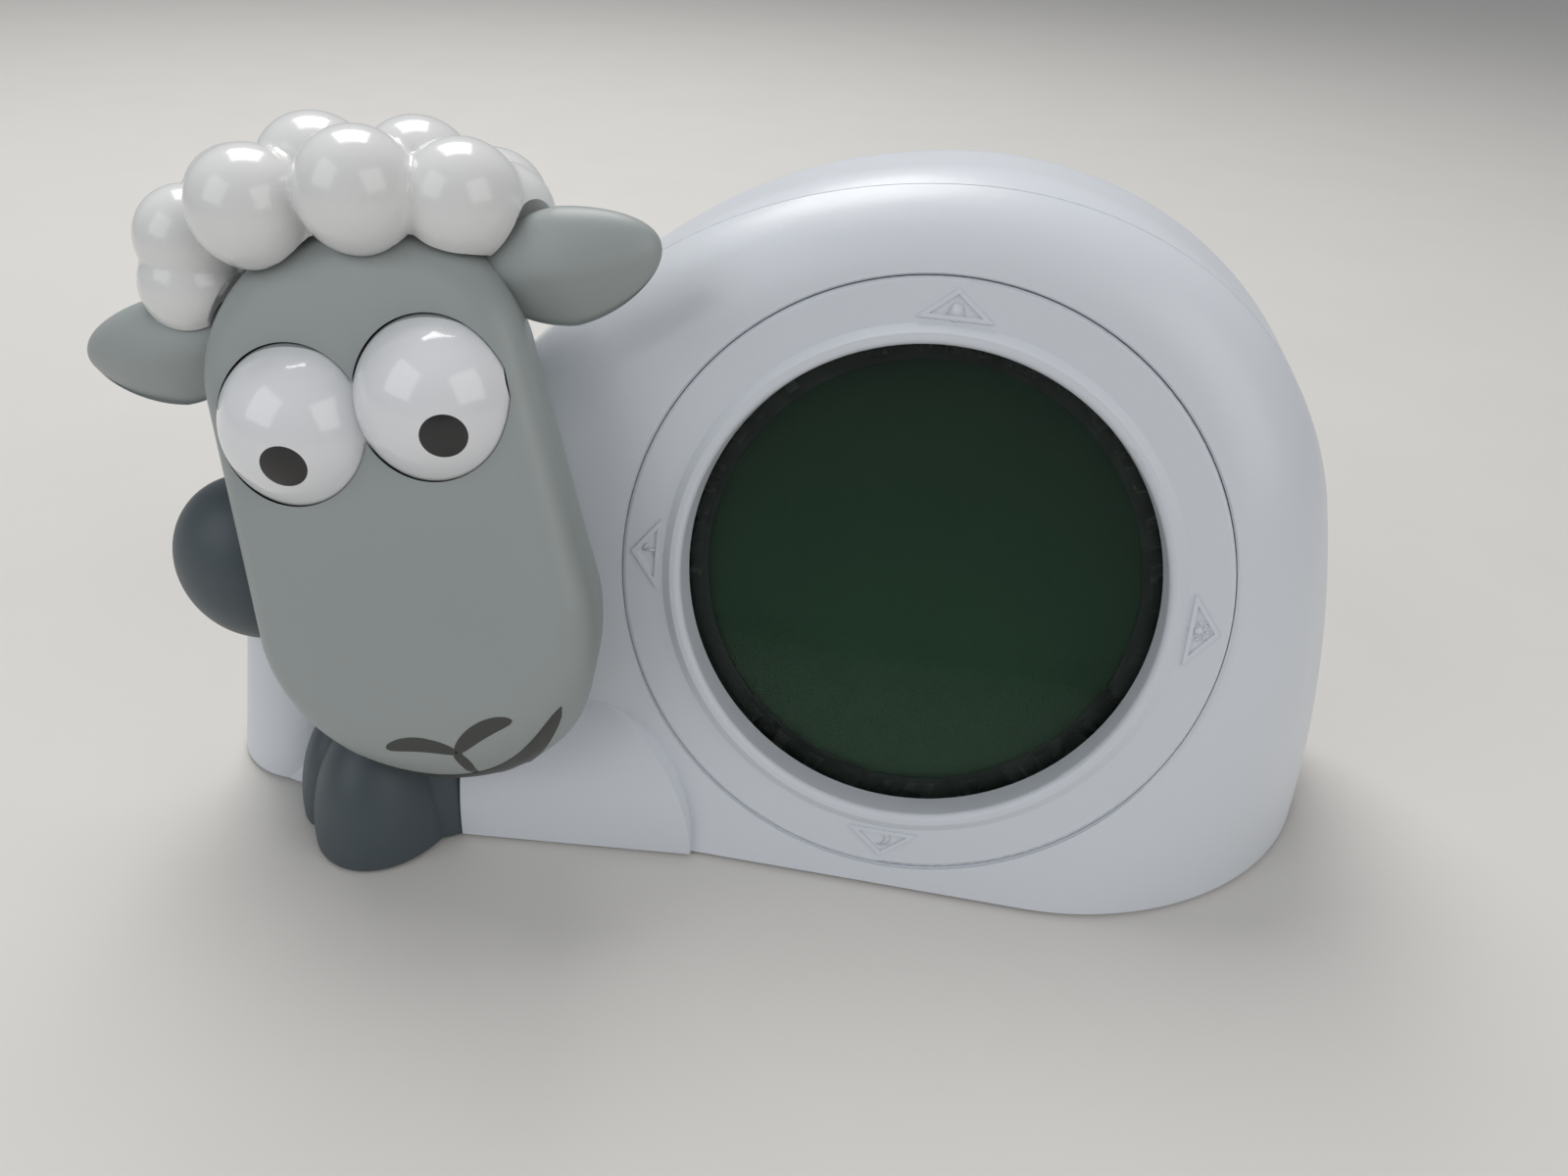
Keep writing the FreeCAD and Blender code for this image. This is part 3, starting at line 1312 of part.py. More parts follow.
slide = coordinate_system("SwitchFrame", f"BackFrame.Placement * {at('switch_x', 'switch_z', 0)}")
PLATE_LONG = "(knob_width + 3)"
slide_case = cut(
    block(0, 0, "-shell_wall - 5", "knob_width + switch_throw + 8", "knob_tall + 5", "5"),
    block(0, 0, "-shell_wall - 2.4", f"{PLATE_LONG} + switch_throw + 0.6", "knob_tall + 2.4", "5"),
)
placed("slide_switch", slide_case, slide)
knob_plate = block("-switch_throw / 2", 0, "-shell_wall - 2.3", PLATE_LONG, "knob_tall + 2", "1.3")
knob_stem = block("-switch_throw / 2", 0, "-shell_wall - 2.3", "knob_width", "knob_tall", "shell_wall + 2.1")
placed("slide_switch_knob", fused(knob_plate, knob_stem), slide)

doc.recompute()
faulty = [item.Label for item in doc.Objects if "Invalid" in item.State or "Error" in item.State]
if faulty:
    raise RuntimeError(f"not recomputed: {faulty}")
os.makedirs("parts", exist_ok=True)
for piece in pieces:
    shape = piece.Shape
    if shape.isNull() or not shape.isValid() or not shape.Solids:
        raise RuntimeError(f"{piece.Label} has no valid solid")
    shape.exportStep(f"parts/{piece.Label}.step")
    print(piece.Label, len(shape.Solids), round(shape.Volume))
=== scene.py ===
import math

import bmesh
import bpy
from mathutils import Euler, Matrix, Vector
from mathutils.bvhtree import BVHTree


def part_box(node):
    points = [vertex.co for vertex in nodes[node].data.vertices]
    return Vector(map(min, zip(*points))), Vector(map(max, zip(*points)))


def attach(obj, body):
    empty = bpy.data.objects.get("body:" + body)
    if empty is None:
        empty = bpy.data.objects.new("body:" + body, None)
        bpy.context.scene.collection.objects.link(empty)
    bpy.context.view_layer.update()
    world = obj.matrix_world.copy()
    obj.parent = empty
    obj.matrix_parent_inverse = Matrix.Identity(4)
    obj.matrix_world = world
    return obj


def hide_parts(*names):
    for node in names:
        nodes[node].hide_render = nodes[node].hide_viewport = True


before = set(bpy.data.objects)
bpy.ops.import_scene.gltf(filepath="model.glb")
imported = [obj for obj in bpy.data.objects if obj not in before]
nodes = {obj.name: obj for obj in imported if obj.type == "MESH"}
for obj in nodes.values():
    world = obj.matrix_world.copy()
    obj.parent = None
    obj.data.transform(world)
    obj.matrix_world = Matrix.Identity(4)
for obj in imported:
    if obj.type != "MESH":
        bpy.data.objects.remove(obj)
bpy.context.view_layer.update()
print("frame loaded:", len(nodes), "nodes")

mm = 0.001

# the leaning face of the clock: x across, y up the face, z out of it
facePlace = {"lean": 17.1, "depth": -0.00975, "height": 0.05625}
faceLean = math.radians(facePlace["lean"])
ringLow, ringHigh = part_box("control_ring")
faceMiddle = Vector(((ringLow.x + ringHigh.x) / 2, facePlace["depth"], facePlace["height"]))
faceMatrix = Matrix.Translation(faceMiddle) @ Matrix.Rotation(math.pi / 2 - faceLean, 4, "X")


# shared shader groups

def newGroup(name, inputs, outputs):
    group = bpy.data.node_groups.new(name, "ShaderNodeTree")
    for label, kind, value in inputs:
        socket = group.interface.new_socket(name=label, in_out="INPUT", socket_type=kind)
        socket.default_value = value
    for label, kind in outputs:
        group.interface.new_socket(name=label, in_out="OUTPUT", socket_type=kind)
    return group


def addNode(tree, kind, settings=None, **inputs):
    node = tree.nodes.new(kind)
    for key, value in (settings or {}).items():
        setattr(node, key, value)
    for key, value in inputs.items():
        socket = node.inputs[key.replace("_", " ")]
        if isinstance(value, bpy.types.NodeSocket):
            tree.links.new(value, socket)
        else:
            socket.default_value = value
    return node


def swing(tree, noise, spread, middle):
    # a noise turned into values about a middle, spread to each side
    centred = addNode(tree, "ShaderNodeMath", {"operation": "SUBTRACT"})
    tree.links.new(noise, centred.inputs[0])
    centred.inputs[1].default_value = 0.5
    scaled = addNode(tree, "ShaderNodeMath", {"operation": "MULTIPLY"})
    tree.links.new(centred.outputs[0], scaled.inputs[0])
    tree.links.new(spread, scaled.inputs[1])
    total = addNode(tree, "ShaderNodeMath", {"operation": "ADD"})
    tree.links.new(scaled.outputs[0], total.inputs[0])
    if isinstance(middle, bpy.types.NodeSocket):
        tree.links.new(middle, total.inputs[1])
    else:
        total.inputs[1].default_value = middle
    return total.outputs[0]


def buildMouldedGrain():
    # slow shade changes, a fine moulded grain and an uneven gloss
    group = newGroup(
        "mouldedGrain",
        [
            ("Colour", "NodeSocketColor", (0.8, 0.8, 0.8, 1)),
            ("Shade Spread", "NodeSocketFloat", 0.06),
            ("Grain Size", "NodeSocketFloat", 1400.0),
            ("Grain Depth", "NodeSocketFloat", 0.00002),
            ("Roughness", "NodeSocketFloat", 0.4),
            ("Gloss Spread", "NodeSocketFloat", 0.1),
        ],
        [("Colour", "NodeSocketColor"), ("Roughness", "NodeSocketFloat"), ("Normal", "NodeSocketVector")],
    )
    given = group.nodes.new("NodeGroupInput").outputs
    result = group.nodes.new("NodeGroupOutput").inputs
    place = group.nodes.new("ShaderNodeTexCoord").outputs["Object"]
    slow = addNode(group, "ShaderNodeTexNoise", Vector=place, Scale=22.0, Detail=2.0)
    patches = addNode(group, "ShaderNodeTexNoise", Vector=place, Scale=75.0, Detail=3.0)
    fine = addNode(group, "ShaderNodeTexNoise", Vector=place, Scale=given["Grain Size"], Detail=2.0)
    bright = swing(group, slow.outputs["Fac"], given["Shade Spread"], 1.0)
    tint = addNode(group, "ShaderNodeHueSaturation", Color=given["Colour"], Value=bright)
    gloss = swing(group, patches.outputs["Fac"], given["Gloss Spread"], given["Roughness"])
    bump = addNode(
        group, "ShaderNodeBump", Height=fine.outputs["Fac"], Distance=given["Grain Depth"], Strength=0.6
    )
    group.links.new(tint.outputs["Color"], result["Colour"])
    group.links.new(gloss, result["Roughness"])
    group.links.new(bump.outputs["Normal"], result["Normal"])
    return group


def buildDustSpecks():
    # sparse specks of dust lying on a surface
    group = newGroup(
        "dustSpecks",
        [
            ("Colour", "NodeSocketColor", (0.5, 0.5, 0.5, 1)),
            ("Dust Colour", "NodeSocketColor", (0.5, 0.5, 0.48, 1)),
            ("Cell Size", "NodeSocketFloat", 220.0),
            ("Speck Size", "NodeSocketFloat", 0.05),
            ("Amount", "NodeSocketFloat", 0.3),
        ],
        [("Colour", "NodeSocketColor"), ("Mask", "NodeSocketFloat")],
    )
    given = group.nodes.new("NodeGroupInput").outputs
    result = group.nodes.new("NodeGroupOutput").inputs
    place = group.nodes.new("ShaderNodeTexCoord").outputs["Object"]
    cell = addNode(group, "ShaderNodeTexVoronoi", Vector=place, Scale=given["Cell Size"])
    near = addNode(group, "ShaderNodeMath", {"operation": "LESS_THAN"})
    group.links.new(cell.outputs["Distance"], near.inputs[0])
    group.links.new(given["Speck Size"], near.inputs[1])
    chosen = addNode(group, "ShaderNodeSeparateColor", Color=cell.outputs["Color"])
    rare = addNode(group, "ShaderNodeMath", {"operation": "LESS_THAN"})
    group.links.new(chosen.outputs["Red"], rare.inputs[0])
    group.links.new(given["Amount"], rare.inputs[1])
    both = addNode(group, "ShaderNodeMath", {"operation": "MULTIPLY"})
    group.links.new(near.outputs[0], both.inputs[0])
    group.links.new(rare.outputs[0], both.inputs[1])
    mixed = addNode(
        group, "ShaderNodeMix", {"data_type": "RGBA"}, Factor=both.outputs[0]
    )
    group.links.new(given["Colour"], mixed.inputs[6])
    group.links.new(given["Dust Colour"], mixed.inputs[7])
    group.links.new(mixed.outputs[2], result["Colour"])
    group.links.new(both.outputs[0], result["Mask"])
    return group


def buildDrawnLines():
    # fine lines along one axis, as on turned or rolled steel
    group = newGroup(
        "drawnLines",
        [
            ("Colour", "NodeSocketColor", (0.5, 0.5, 0.5, 1)),
            ("Line Size", "NodeSocketFloat", 2500.0),
            ("Roughness", "NodeSocketFloat", 0.3),
            ("Depth", "NodeSocketFloat", 0.00001),
        ],
        [("Colour", "NodeSocketColor"), ("Roughness", "NodeSocketFloat"), ("Normal", "NodeSocketVector")],
    )
    given = group.nodes.new("NodeGroupInput").outputs
    result = group.nodes.new("NodeGroupOutput").inputs
    place = group.nodes.new("ShaderNodeTexCoord").outputs["Object"]
    long = addNode(group, "ShaderNodeMapping", Vector=place, Scale=(1.0, 0.08, 1.0))
    lines = addNode(group, "ShaderNodeTexNoise", Vector=long.outputs[0], Scale=given["Line Size"], Detail=3.0)
    stains = addNode(group, "ShaderNodeTexNoise", Vector=place, Scale=160.0, Detail=2.0)
    bright = addNode(group, "ShaderNodeMapRange", Value=stains.outputs["Fac"], To_Min=0.88, To_Max=1.08)
    tint = addNode(group, "ShaderNodeHueSaturation", Color=given["Colour"], Value=bright.outputs[0])
    rough = addNode(group, "ShaderNodeMath", {"operation": "MULTIPLY_ADD"})
    group.links.new(lines.outputs["Fac"], rough.inputs[0])
    rough.inputs[1].default_value = 0.16
    group.links.new(given["Roughness"], rough.inputs[2])
    bump = addNode(
        group, "ShaderNodeBump", Height=lines.outputs["Fac"], Distance=given["Depth"], Strength=0.5
    )
    group.links.new(tint.outputs["Color"], result["Colour"])
    group.links.new(rough.outputs[0], result["Roughness"])
    group.links.new(bump.outputs["Normal"], result["Normal"])
    return group


mouldedGrain = buildMouldedGrain()
dustSpecks = buildDustSpecks()
drawnLines = buildDrawnLines()
print("shader groups built")


# finishes

def newMaterial(name, **sockets):
    material = bpy.data.materials.new(name)
    material.use_nodes = True
    shader = material.node_tree.nodes["Principled BSDF"]
    for key, value in sockets.items():
        shader.inputs[key.replace("_", " ")].default_value = value
    return material, material.node_tree, shader


def useGroup(tree, group, **inputs):
    node = tree.nodes.new("ShaderNodeGroup")
    node.node_tree = group
    for key, value in inputs.items():
        socket = node.inputs[key.replace("_", " ")]
        if isinstance(value, bpy.types.NodeSocket):
            tree.links.new(value, socket)
        else:
            socket.default_value = value
    return node.outputs


def colour(red, green, blue):
    return (red, green, blue, 1)


def mouldedFinish(name, look):
    # moulded plastic: grain, uneven gloss and a little dust
    material, tree, shader = newMaterial(
        name, Coat_Weight=look.get("coat", 0.0), Coat_Roughness=look.get("coatRoughness", 0.12), IOR=1.49
    )
    grain = useGroup(
        tree,
        mouldedGrain,
        Colour=look["colour"],
        Shade_Spread=look.get("shadeSpread", 0.05),
        Grain_Size=look.get("grainSize", 1500.0),
        Grain_Depth=look.get("grainDepth", 0.02) * mm,
        Roughness=look["roughness"],
        Gloss_Spread=look.get("glossSpread", 0.12),
    )
    dust = useGroup(
        tree,
        dustSpecks,
        Colour=grain["Colour"],
        Dust_Colour=look.get("dustColour", colour(0.45, 0.42, 0.38)),
        Cell_Size=look.get("dustCells", 260.0),
        Speck_Size=look.get("dustSize", 0.045),
        Amount=look.get("dust", 0.02),
    )
    tree.links.new(dust["Colour"], shader.inputs["Base Color"])
    tree.links.new(grain["Roughness"], shader.inputs["Roughness"])
    tree.links.new(grain["Normal"], shader.inputs["Normal"])
    return material


def steelFinish(name, look):
    material, tree, shader = newMaterial(name, Metallic=1.0)
    lines = useGroup(tree, drawnLines, Colour=look["colour"], Roughness=look["roughness"])
    tree.links.new(lines["Colour"], shader.inputs["Base Color"])
    tree.links.new(lines["Roughness"], shader.inputs["Roughness"])
    tree.links.new(lines["Normal"], shader.inputs["Normal"])
    return material


bodyLook = {"colour": colour(0.70, 0.73, 0.775), "roughness": 0.36, "coat": 0.12, "coatRoughness": 0.3}
ringLook = {"colour": colour(0.69, 0.72, 0.765), "roughness": 0.40, "coat": 0.08, "coatRoughness": 0.3,
            "dust": 0.03}
tuftLook = {"colour": colour(0.79, 0.79, 0.78), "roughness": 0.20, "coat": 0.5, "coatRoughness": 0.1}
eyeLook = {"colour": colour(0.82, 0.83, 0.85), "roughness": 0.14, "coat": 0.6, "coatRoughness": 0.06,
           "dust": 0.0}
faceLook = {"colour": colour(0.335, 0.365, 0.36), "roughness": 0.42, "shadeSpread": 0.07, "dust": 0.03,
            "dustColour": colour(0.6, 0.6, 0.58)}
hoofLook = {"colour": colour(0.062, 0.082, 0.094), "roughness": 0.46, "shadeSpread": 0.12, "dust": 0.06,
            "dustColour": colour(0.3, 0.3, 0.29)}
printLook = {"colour": colour(0.055, 0.058, 0.052), "roughness": 0.42, "shadeSpread": 0.2, "grainDepth": 0.03}
pupilLook = {"colour": colour(0.010, 0.009, 0.010), "roughness": 0.2, "coat": 0.4, "dust": 0.0}
maskLook = {"colour": colour(0.018, 0.028, 0.022), "roughness": 0.5}
milkyLook = {"colour": colour(0.74, 0.74, 0.71), "roughness": 0.5, "shadeSpread": 0.04}
blackLook = {"colour": colour(0.02, 0.02, 0.021), "roughness": 0.45, "grainDepth": 0.05, "grainSize": 900.0}
rubberLook = {"colour": colour(0.045, 0.046, 0.048), "roughness": 0.75, "grainDepth": 0.06, "grainSize": 700.0,
              "dust": 0.12, "dustColour": colour(0.22, 0.21, 0.2)}
steelLook = {"colour": colour(0.46, 0.46, 0.47), "roughness": 0.24}
nickelLook = {"colour": colour(0.56, 0.54, 0.49), "roughness": 0.2}

bodyWhite = mouldedFinish("satinWhiteShell", bodyLook)
ringWhite = mouldedFinish("satinWhiteRing", ringLook)
tuftWhite = mouldedFinish("glossWhiteWool", tuftLook)
eyeWhite = mouldedFinish("glossWhiteEyes", eyeLook)
faceGrey = mouldedFinish("softGreyFace", faceLook)
hoofBlue = mouldedFinish("matteBlueGreyHoof", hoofLook)
darkPrint = mouldedFinish("darkPadPrint", printLook)
pupilBlack = mouldedFinish("glossBlackPupil", pupilLook)
maskGreen = mouldedFinish("darkDisplayMask", maskLook)
milkyWhite = mouldedFinish("milkyDiffuser", milkyLook)
mouldedBlack = mouldedFinish("mouldedBlack", blackLook)
softRubber = mouldedFinish("softRubber", rubberLook)
plainSteel = steelFinish("plainSteel", steelLook)
nickelSpring = steelFinish("nickelSpring", nickelLook)


def displayFinish(look):
    # liquid crystal panel at rest: dark green, with painted shade making it a little darker towards the top
    material, tree, shader = newMaterial("restingDisplay", Specular_IOR_Level=0.1, IOR=1.4)
    place = tree.nodes.new("ShaderNodeTexCoord").outputs["Object"]
    apart = addNode(tree, "ShaderNodeSeparateXYZ", Vector=place)
    height = addNode(
        tree, "ShaderNodeMapRange", Value=apart.outputs["Z"], From_Min=look["low"], From_Max=look["high"]
    )
    shade = addNode(tree, "ShaderNodeMix", {"data_type": "RGBA"}, Factor=height.outputs[0])
    shade.inputs[6].default_value = look["lowColour"]
    shade.inputs[7].default_value = look["shadedTopColour"]
    grain = useGroup(
        tree, mouldedGrain, Colour=shade.outputs[2], Shade_Spread=0.12, Grain_Size=900.0,
        Grain_Depth=0.004 * mm, Roughness=0.32, Gloss_Spread=0.1,
    )
    tree.links.new(grain["Colour"], shader.inputs["Base Color"])
    tree.links.new(grain["Roughness"], shader.inputs["Roughness"])
    tree.links.new(grain["Normal"], shader.inputs["Normal"])
    return material


def windowFinish(look):
    # clear acrylic, with fine dust and scratches that catch the light
    material, tree, shader = newMaterial("clearAcrylic", Transmission_Weight=1.0, IOR=look["index"])
    shader.inputs["Base Color"].default_value = look["colour"]
    place = tree.nodes.new("ShaderNodeTexCoord").outputs["Object"]
    worn = addNode(tree, "ShaderNodeTexNoise", Vector=place, Scale=60.0, Detail=4.0)
    rough = addNode(
        tree, "ShaderNodeMapRange", Value=worn.outputs["Fac"], From_Min=0.45, From_Max=0.75,
        To_Min=look["polish"], To_Max=look["polish"] + 0.05,
    )
    tree.links.new(rough.outputs[0], shader.inputs["Roughness"])
    return material


def boardFinish(look):
    # solder mask over copper tracks, seen as slightly lighter cells
    material, tree, shader = newMaterial("solderMask", Coat_Weight=0.3)
    place = tree.nodes.new("ShaderNodeTexCoord").outputs["Object"]
    tracks = addNode(
        tree, "ShaderNodeTexVoronoi", {"distance": "CHEBYCHEV"}, Vector=place, Scale=look["tracks"]
    )
    band = addNode(
        tree, "ShaderNodeMapRange", Value=tracks.outputs["Distance"], From_Min=0.3, From_Max=0.34
    )
    shade = addNode(tree, "ShaderNodeMix", {"data_type": "RGBA"}, Factor=band.outputs[0])
    shade.inputs[6].default_value = look["mask"]
    shade.inputs[7].default_value = look["track"]
    grain = useGroup(tree, mouldedGrain, Colour=shade.outputs[2], Roughness=0.35, Grain_Size=800.0)
    tree.links.new(grain["Colour"], shader.inputs["Base Color"])
    tree.links.new(grain["Roughness"], shader.inputs["Roughness"])
    bump = addNode(tree, "ShaderNodeBump", Height=band.outputs[0], Distance=0.04 * mm, Strength=0.5)
    tree.links.new(bump.outputs["Normal"], shader.inputs["Normal"])
    return material


def sleeveFinish(look):
    # printed shrink sleeve with a lighter band at one end
    material, tree, shader = newMaterial("cellSleeve", Coat_Weight=0.4)
    place = tree.nodes.new("ShaderNodeTexCoord").outputs["Object"]
    apart = addNode(tree, "ShaderNodeSeparateXYZ", Vector=place)
    band = addNode(tree, "ShaderNodeMath", {"operation": "GREATER_THAN"})
    tree.links.new(apart.outputs["X"], band.inputs[0])
    band.inputs[1].default_value = look["bandFrom"]
    shade = addNode(tree, "ShaderNodeMix", {"data_type": "RGBA"}, Factor=band.outputs[0])
    shade.inputs[6].default_value = look["sleeve"]
    shade.inputs[7].default_value = look["band"]
    grain = useGroup(tree, mouldedGrain, Colour=shade.outputs[2], Roughness=0.3, Grain_Size=1200.0)
    tree.links.new(grain["Colour"], shader.inputs["Base Color"])
    tree.links.new(grain["Roughness"], shader.inputs["Roughness"])
    tree.links.new(grain["Normal"], shader.inputs["Normal"])
    return material


panelLow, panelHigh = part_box("lcd_panel")
cellsLow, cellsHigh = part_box("batteries")
# the panel's green at the bottom, and a darker green at the top as painted shade
displayLook = {
    "low": panelLow.z,
    "high": panelHigh.z,
    "lowColour": colour(0.024, 0.070, 0.036),
    "shadedTopColour": colour(0.014, 0.036, 0.020),
}
windowLook = {"colour": colour(0.93, 0.97, 0.95), "polish": 0.02, "index": 1.22}
boardLook = {"mask": colour(0.01, 0.075, 0.03), "track": colour(0.02, 0.14, 0.05), "tracks": 260.0}
sleeveLook = {
    "sleeve": colour(0.05, 0.11, 0.08),
    "band": colour(0.42, 0.40, 0.36),
    "bandFrom": cellsHigh.x - 0.3 * (cellsHigh.x - cellsLow.x),
}
restingDisplay = displayFinish(displayLook)
clearAcrylic = windowFinish(windowLook)
solderMask = boardFinish(boardLook)
cellSleeve = sleeveFinish(sleeveLook)

nodeFinishes = [
    (bodyWhite, "body_front_shell body_rear_shell battery_door slide_switch_knob"),
    (ringWhite, "control_ring"),
    (tuftWhite, "wool_tuft"),
    (eyeWhite, "eye_pair"),
    (pupilBlack, "pupils"),
    (faceGrey, "head_front_shell head_rear_shell left_ear right_ear eyelids"),
    (hoofBlue, "front_hoof cheek_hoof"),
    (darkPrint, "nose_and_mouth"),
    (plainSteel, "housing_screws head_screws display_screws board_screws battery_door_screw"),
    (plainSteel, "tilt_ring eye_axle eye_motor"),
    (nickelSpring, "battery_contacts power_inlet"),
    (clearAcrylic, "window_lens"),
    (maskGreen, "display_mask"),
    (restingDisplay, "lcd_panel"),
    (milkyWhite, "light_guide display_frame battery_box eye_bearing night_light_leds"),
    (mouldedBlack, "ring_switches snooze_switch board_chips slide_switch speaker"),
    (solderMask, "main_board switch_board"),
    (softRubber, "rubber_feet"),
    (cellSleeve, "batteries"),
]
for finish, names in nodeFinishes:
    for name in names.split():
        for slot in nodes[name].material_slots:
            slot.material = finish
print("finishes set on", sum(len(names.split()) for finish, names in nodeFinishes), "nodes")


# new pieces

def toObject(name, mesh, finish, body, matrix=None):
    # the mesh carries the place, and the object stays at the origin
    if matrix is not None:
        bmesh.ops.transform(mesh, matrix=matrix, verts=mesh.verts)
    bmesh.ops.remove_doubles(mesh, verts=mesh.verts, dist=0.000001)
    bmesh.ops.recalc_face_normals(mesh, faces=mesh.faces)
    data = bpy.data.meshes.new(name)
    mesh.to_mesh(data)
    mesh.free()
    for polygon in data.polygons:
        polygon.use_smooth = True
    piece = bpy.data.objects.new(name, data)
    bpy.context.scene.collection.objects.link(piece)
    data.materials.append(finish)
    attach(piece, body)
    return piece


iconSizes = {
    "circle": 0.5 * (46.8 + 51.2) * mm - 0.6 * mm,  # midway between the inner and outer edge of the marks
    "rise": 0.32 * mm,
}


def plate(mesh, corners, rise):
    # a flat outline in the face plane, raised
    face = mesh.faces.new([mesh.verts.new((x, y, 0)) for x, y in corners])
    raised = bmesh.ops.extrude_face_region(mesh, geom=[face])
    moved = [item for item in raised["geom"] if isinstance(item, bmesh.types.BMVert)]
    bmesh.ops.translate(mesh, verts=moved, vec=(0, 0, rise))


def arcPoints(x, y, radius, start, end, count):
    turns = [math.radians(start + (end - start) * step / count) for step in range(count + 1)]
    return [(x + radius * math.cos(turn), y + radius * math.sin(turn)) for turn in turns]


def bellIcon(mesh, rise):
    dome = arcPoints(0, 0.1, 1.1, 0, 180, 12)
    plate(mesh, [(x * mm, y * mm) for x, y in [(1.6, -1.0)] + dome + [(-1.6, -1.0)]], rise)
    plate(mesh, [(x * mm, y * mm) for x, y in arcPoints(0, -1.5, 0.42, 180, 360, 8)], rise)


def sunIcon(mesh, rise):
    disc = bmesh.ops.create_circle(mesh, cap_ends=True, radius=0.75 * mm, segments=20)
    raised = bmesh.ops.extrude_face_region(mesh, geom=list(disc["verts"][0].link_faces))
    moved = [item for item in raised["geom"] if isinstance(item, bmesh.types.BMVert)]
    bmesh.ops.translate(mesh, verts=moved, vec=(0, 0, rise))
    for step in range(8):
        turn = math.radians(45 * step)
        out = Vector((math.cos(turn), math.sin(turn))) * mm
        side = Vector((-out.y, out.x)) * 0.2
        ends = (out * 1.15 - side, out * 1.8 - side, out * 1.8 + side, out * 1.15 + side)
        plate(mesh, [(end.x, end.y) for end in ends], rise)


def moonIcon(mesh, rise):
    outer = arcPoints(0, 0, 1.5, 60, 300, 18)
    inner = arcPoints(0.75, 0, 1.3, 270, 90, 14)
    plate(mesh, [(x * mm, y * mm) for x, y in outer + inner], rise)


def noteIcon(mesh, rise):
    plate(mesh, [(x * mm, y * mm) for x, y in ((0.35, -1.1), (0.75, -1.1), (0.75, 1.6), (0.35, 1.6))], rise)
    plate(mesh, [(x * mm, y * mm) for x, y in ((0.75, 1.6), (0.75, 1.0), (1.6, 0.4), (1.6, 0.9))], rise)
    plate(mesh, [(x * mm, y * mm) for x, y in arcPoints(-0.05, -1.15, 0.75, 0, 345, 14)], rise)


icons = (
    # name, sign, turn round the ring
    ("alarmMark", bellIcon, 90),
    ("lightMark", sunIcon, 0),
    ("nightMark", moonIcon, 270),
    ("soundMark", noteIcon, 180),
)
for name, draw, turn in icons:
    mesh = bmesh.new()
    draw(mesh, iconSizes["rise"])
    spot = Matrix.Rotation(math.radians(turn), 4, "Z") @ Matrix.Translation((iconSizes["circle"], 0, 0))
    upright = spot @ Matrix.Rotation(-math.pi / 2, 4, "Z")
    toObject(name, mesh, ringWhite, "control_ring", faceMatrix @ upright)
print("ring marks made:", len(icons))


# the head and what sits on it, in the head's own frame: x right, y into the head, z to the crown

headPlace = {"middle": (-0.060126, -0.026, 0.0847), "roll": 17.2}
headMatrix = (
    Matrix.Translation(headPlace["middle"])
    @ Matrix.Rotation(-faceLean, 4, "X")
    @ Matrix.Rotation(-math.radians(headPlace["roll"]), 4, "Y")
)
headShape = {
    "chinHalf": 30.4, "chinTall": 33.4, "chinMiddle": -34.0,  # lower half of the front view
    "crownHalf": 28.7, "crownTall": 25.8, "crownMiddle": 6.0,  # upper half of the front view
    "front": -0.3, "lean": 3.5, "rimSide": 5.4, "rimChin": 17.0, "rimCrown": 11.0,
    "taper": 6.6, "taperFrom": 9.0, "neck": 24.0, "back": 32.6, "around": 128,
    "eyeOffset": 12.4, "eyeDepth": 5.5, "socket": 14.55, "socketEnd": 0.25,
}


def outlinePoint(turn, inset, shape):
    lower = math.sin(turn) < 0
    part = "chin" if lower else "crown"
    x = (shape[part + "Half"] - inset) * math.cos(turn)
    z = shape[part + "Middle"] + (shape[part + "Tall"] - inset) * math.sin(turn)
    return x, z


def rimRadius(turn, shape):
    low = max(0.0, -math.sin(turn)) ** 2
    high = max(0.0, math.sin(turn)) ** 2
    toChin = low * (shape["rimChin"] - shape["rimSide"])
    toCrown = high * (shape["rimCrown"] - shape["rimSide"])
    return shape["rimSide"] + toChin + toCrown


def placeRing(verts, shape, step, depth, grow=0.0):
    # one ring of the head: step from 0 to 1 goes round the front rim, and past 1 down the flank
    for vert, turn in verts:
        rim = rimRadius(turn, shape)
        if step <= 1:
            inset = rim * (1 - math.sin(step * math.pi / 2))
            deep = rim * (1 - math.cos(step * math.pi / 2))
        else:
            along = (depth - shape["taperFrom"]) / (shape["neck"] - shape["taperFrom"])
            inset = shape["taper"] * max(0.0, along)
            deep = max(depth, rim)
        x, z = outlinePoint(turn, inset - grow, shape)
        front = shape["front"] + z * math.tan(math.radians(shape["lean"])) * (1 if step <= 1 else 0)
        vert.co = Vector((x, front + deep if step <= 1 else max(depth, rim + front), z)) * mm


